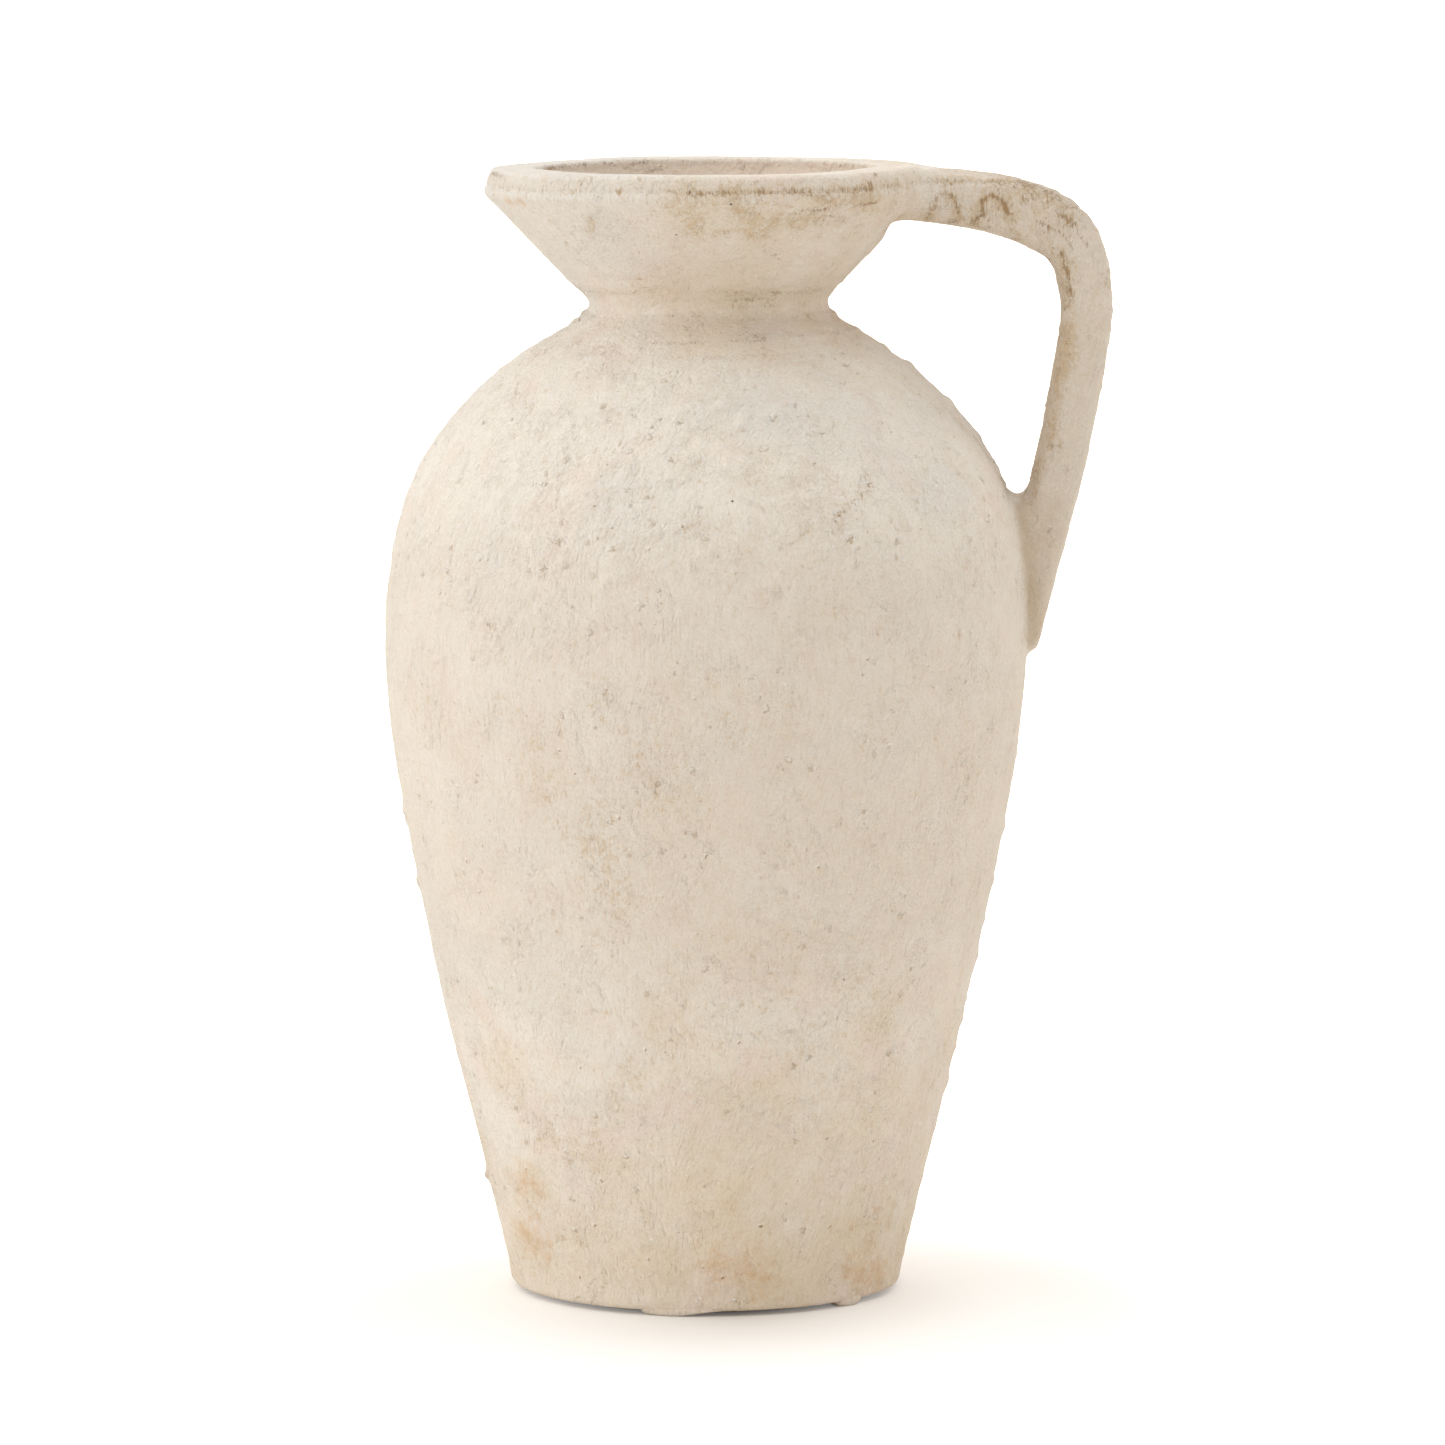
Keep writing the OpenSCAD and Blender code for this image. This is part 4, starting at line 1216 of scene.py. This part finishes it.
class VASE_OT_lumps(bpy.types.Operator):
    """Build the flattened lumps of clay under the slab's worn edge"""
    bl_idname = "vase.lumps"
    bl_label = "Foot lumps"

    def execute(self, context):
        form = context.scene.vase_form
        shells = [self.lump(form, math.radians(bearing), half * MM, rise * MM)
                  for bearing, half, rise in LUMPS]
        mesh = mesh_of("foot_lumps", shells, bpy.data.materials["limewash"], Outline(form))
        add_piece("foot_lumps", mesh)
        return {'FINISHED'}

    @staticmethod
    def lump(form, bearing, half, rise):
        """A squared oval laid along the slab's edge: cosine of u along the edge, sine of u to a power times
        the cosine and sine of v across and up, with one end raised, roughened and kept above the floor."""
        u = np.linspace(0, math.pi, 41)[:, None]
        v = np.linspace(0, 2 * math.pi, 48, endpoint=False)
        full = np.sin(u) ** LUMP_FULLNESS
        middle = form.foot_radius - LUMP_SET_IN
        turn = bearing + half * np.cos(u) / middle + 0 * v
        out = middle + LUMP_ACROSS * full * np.sign(np.cos(v)) * np.abs(np.cos(v)) ** LUMP_SQUARENESS
        raised = rise * ease(0.3 + 0.8 * np.cos(u)) * ease(-np.sin(v))
        height = LUMP_MIDDLE + LUMP_UP * full * np.sin(v) + raised
        base = np.stack([out * np.cos(turn), out * np.sin(turn), height], axis=-1)
        base *= 1 + 0.005 * (full * noise(base, 5, 51))[..., None]
        base[..., 2] = np.maximum(base[..., 2], 0.02 * MM)
        patch = Patch(base)
        patch.normals[0], patch.normals[-1] = patch.normals[1].mean(axis=0), patch.normals[-2].mean(axis=0)
        return Shell([patch], True)


class VASE_OT_handle(bpy.types.Operator):
    """Build the strap handle from rim to shoulder"""
    bl_idname = "vase.handle"
    bl_label = "Handle"

    def execute(self, context):
        form = context.scene.vase_form
        outline, strap = Outline(form), Strap(context.scene.vase_handle)
        shares = np.linspace(0, -1, STRAP_SIDES, endpoint=False)
        out, back = strap.crossings(outline, shares)
        travel = np.linspace(0, 3, 3001)
        along = travelled(strap.point(np.stack(np.meshgrid(travel, shares, indexing="ij"), axis=-1)))
        steps = np.linspace(0, 1, STRAP_ROWS)
        wanted = np.empty((STRAP_ROWS, STRAP_SIDES))
        for j in range(STRAP_SIDES):
            leaves, enters, stop = np.interp([out[j], back[j], STRAP_STOP], travel, along[:, j])
            first, last = leaves - STRAP_SUNK, min(enters + STRAP_SUNK, stop)
            wanted[:, j] = np.interp(first + steps * (last - first), along[:, j], travel)
        base = strap.point(np.stack([wanted, np.broadcast_to(shares, wanted.shape)], axis=-1))
        tube = dressed(base, grid_normals(base), form)

        def cap(row, way):
            """A patch from one end row to its middle, or back."""
            ring = tube.points[row][None]
            middle = np.broadcast_to(ring.mean(axis=1, keepdims=True), ring.shape)
            points = np.concatenate([middle, ring][::way])
            normal = unit(tube.points[row] - tube.points[row + way]).mean(axis=0)
            return Patch(points, points, np.broadcast_to(normal, points.shape))

        shell = Shell([cap(0, 1), tube, cap(-1, -1)], True)
        mesh = mesh_of("handle", [shell], bpy.data.materials["limewash"], outline)
        add_piece("handle", mesh)
        return {'FINISHED'}


class VASE_OT_lutes(bpy.types.Operator):
    """Build the saddles of luting clay at the two ends of the handle"""
    bl_idname = "vase.lutes"
    bl_label = "Luting clay"

    def execute(self, context):
        form = context.scene.vase_form
        outline, strap = Outline(form), Strap(context.scene.vase_handle)

        def round_strap(values, scale):
            """Values for the strap's outer face, its sides and its inner face, as a function of the share of
            the way round that eases between them."""
            outer, side, inner = (value * scale for value in values)

            def value_at(around):
                face = np.cos(2 * math.pi * around)
                return side + (outer - side) * ease(face) + (inner - side) * ease(-face)
            return value_at

        material = bpy.data.materials["limewash"]
        for end, (node, values) in enumerate(LUTES.items()):
            lengths = (round_strap(row, scale) for row, scale in zip(values, (MM, MM, 1)))
            front, back, start_normal, finish_normal = saddle(strap, outline, end, *lengths)
            patch = dressed(front, grid_normals(front), form)
            patch.normals[:2], patch.normals[-2:] = start_normal, finish_normal
            rear = settle_by_hand(back, form)
            rear[0], rear[-1] = patch.points[-1], patch.points[0]
            mesh = mesh_of(node, [Shell([patch, Patch(rear)], False)], material, outline)
            add_piece(node, mesh)
        return {'FINISHED'}


class VASE_OT_stage(bpy.types.Operator):
    """Build the floor, the light and the camera"""
    bl_idname = "vase.stage"
    bl_label = "Stage"

    def execute(self, context):
        scene = context.scene
        self.floor(scene)
        self.lights(scene, scene.vase_stage)
        self.camera(scene, scene.vase_stage)
        scene.view_settings.view_transform = 'Standard'
        return {'FINISHED'}

    @staticmethod
    def floor(scene):
        """A wide pale square. The camera, and what the vase mirrors, see it glow white outside the shadow."""
        mesh = bpy.data.meshes.new("floor")
        corners = [(FLOOR_REACH * x, FLOOR_REACH * y, 0) for x, y in ((-1, -1), (1, -1), (1, 1), (-1, 1))]
        mesh.from_pydata(corners, [], [(0, 1, 2, 3)])
        floor = bpy.data.objects.new("floor", mesh)
        scene.collection.objects.link(floor)
        paint = Shader("floor")
        rays = ("Is Camera Ray", "Is Glossy Ray", "Is Transmission Ray")
        seen = sum(paint.node('ShaderNodeLightPath', {}, {}, ray) for ray in rays).clamped()
        distance = paint.vector('DISTANCE', paint.place(SHADOW_SPREAD), SHADOW_PLACE, output="Value")
        lit = sum(part * distance.step(dark, bright) for part, dark, bright in GLOW_STEPS)
        glow = paint.mix(seen * lit, (0, 0, 0, 1), (1, 1, 1, 1))
        ground = paint.mix(seen, FLOOR_BOUNCE, FLOOR_SEEN)
        paint.fill(paint.surface, {"Base Color": ground, "Roughness": 1.0, "Specular IOR Level": 0.0,
                                   "Emission Color": glow, "Emission Strength": 1.0})
        mesh.materials.append(paint.material)

    @staticmethod
    def lights(scene, stage):
        """An even white sky, and soft suns that shine from their places on the axis at the floor."""
        scene.world = bpy.data.worlds.new("sky")
        scene.world.use_nodes = True
        sky = scene.world.node_tree.nodes["Background"]
        sky.inputs["Color"].default_value = (1, 1, 1, 1)
        sky.inputs["Strength"].default_value = stage.sky
        for name, source in LIGHTS.items():
            lamp = bpy.data.lights.new(name, 'SUN')
            lamp.energy, lamp.angle = getattr(stage, name), LIGHT_SPREAD
            light = bpy.data.objects.new(name, lamp)
            light.location = source
            light.rotation_euler = (-light.location).to_track_quat('-Z', 'Y').to_euler()
            scene.collection.objects.link(light)

    @staticmethod
    def camera(scene, stage):
        """A long lens in front of the vase, aimed at the middle of its height."""
        view = bpy.data.cameras.new("camera")
        view.lens, view.sensor_width, view.clip_end = stage.lens, 36, 100
        camera = bpy.data.objects.new("camera", view)
        camera.location = (stage.aim_side, -stage.camera_distance, stage.camera_height)
        aim = Vector((stage.aim_side, 0, stage.aim_height))
        camera.rotation_euler = (aim - camera.location).to_track_quat('-Z', 'Y').to_euler()
        scene.collection.objects.link(camera)
        scene.camera = camera


class VASE_PT_panel(bpy.types.Panel):
    """The vase's pieces, sizes and colours"""
    bl_idname = "VASE_PT_panel"
    bl_label = "Jug vase"
    bl_space_type = 'VIEW_3D'
    bl_region_type = 'UI'
    bl_category = "Jug vase"

    def draw(self, context):
        for operator in OPERATORS:
            self.layout.operator(operator.bl_idname)
        for name, group in GROUPS.items():
            column = self.layout.box().column()
            for prop in group.__annotations__:
                column.prop(getattr(context.scene, name), prop)


GROUPS = {"vase_form": VaseForm, "vase_handle": VaseHandle, "vase_finish": VaseFinish,
          "vase_stage": VaseStage}
OPERATORS = (VASE_OT_thrown, VASE_OT_coils, VASE_OT_lumps, VASE_OT_handle, VASE_OT_lutes, VASE_OT_stage)
CLASSES = (*GROUPS.values(), *OPERATORS, VASE_PT_panel)


def register():
    """Adds the classes, and their settings to the scene."""
    for cls in CLASSES:
        bpy.utils.register_class(cls)
    for name, group in GROUPS.items():
        setattr(bpy.types.Scene, name, PointerProperty(type=group))


def unregister():
    """Takes them away again."""
    for name in GROUPS:
        delattr(bpy.types.Scene, name)
    for cls in reversed(CLASSES):
        bpy.utils.unregister_class(cls)


def main():
    """Builds every piece and the stage."""
    register()
    bpy.ops.vase.thrown()
    bpy.ops.vase.coils()
    bpy.ops.vase.lumps()
    bpy.ops.vase.handle()
    bpy.ops.vase.lutes()
    bpy.ops.vase.stage()


if __name__ == "__main__":
    main()
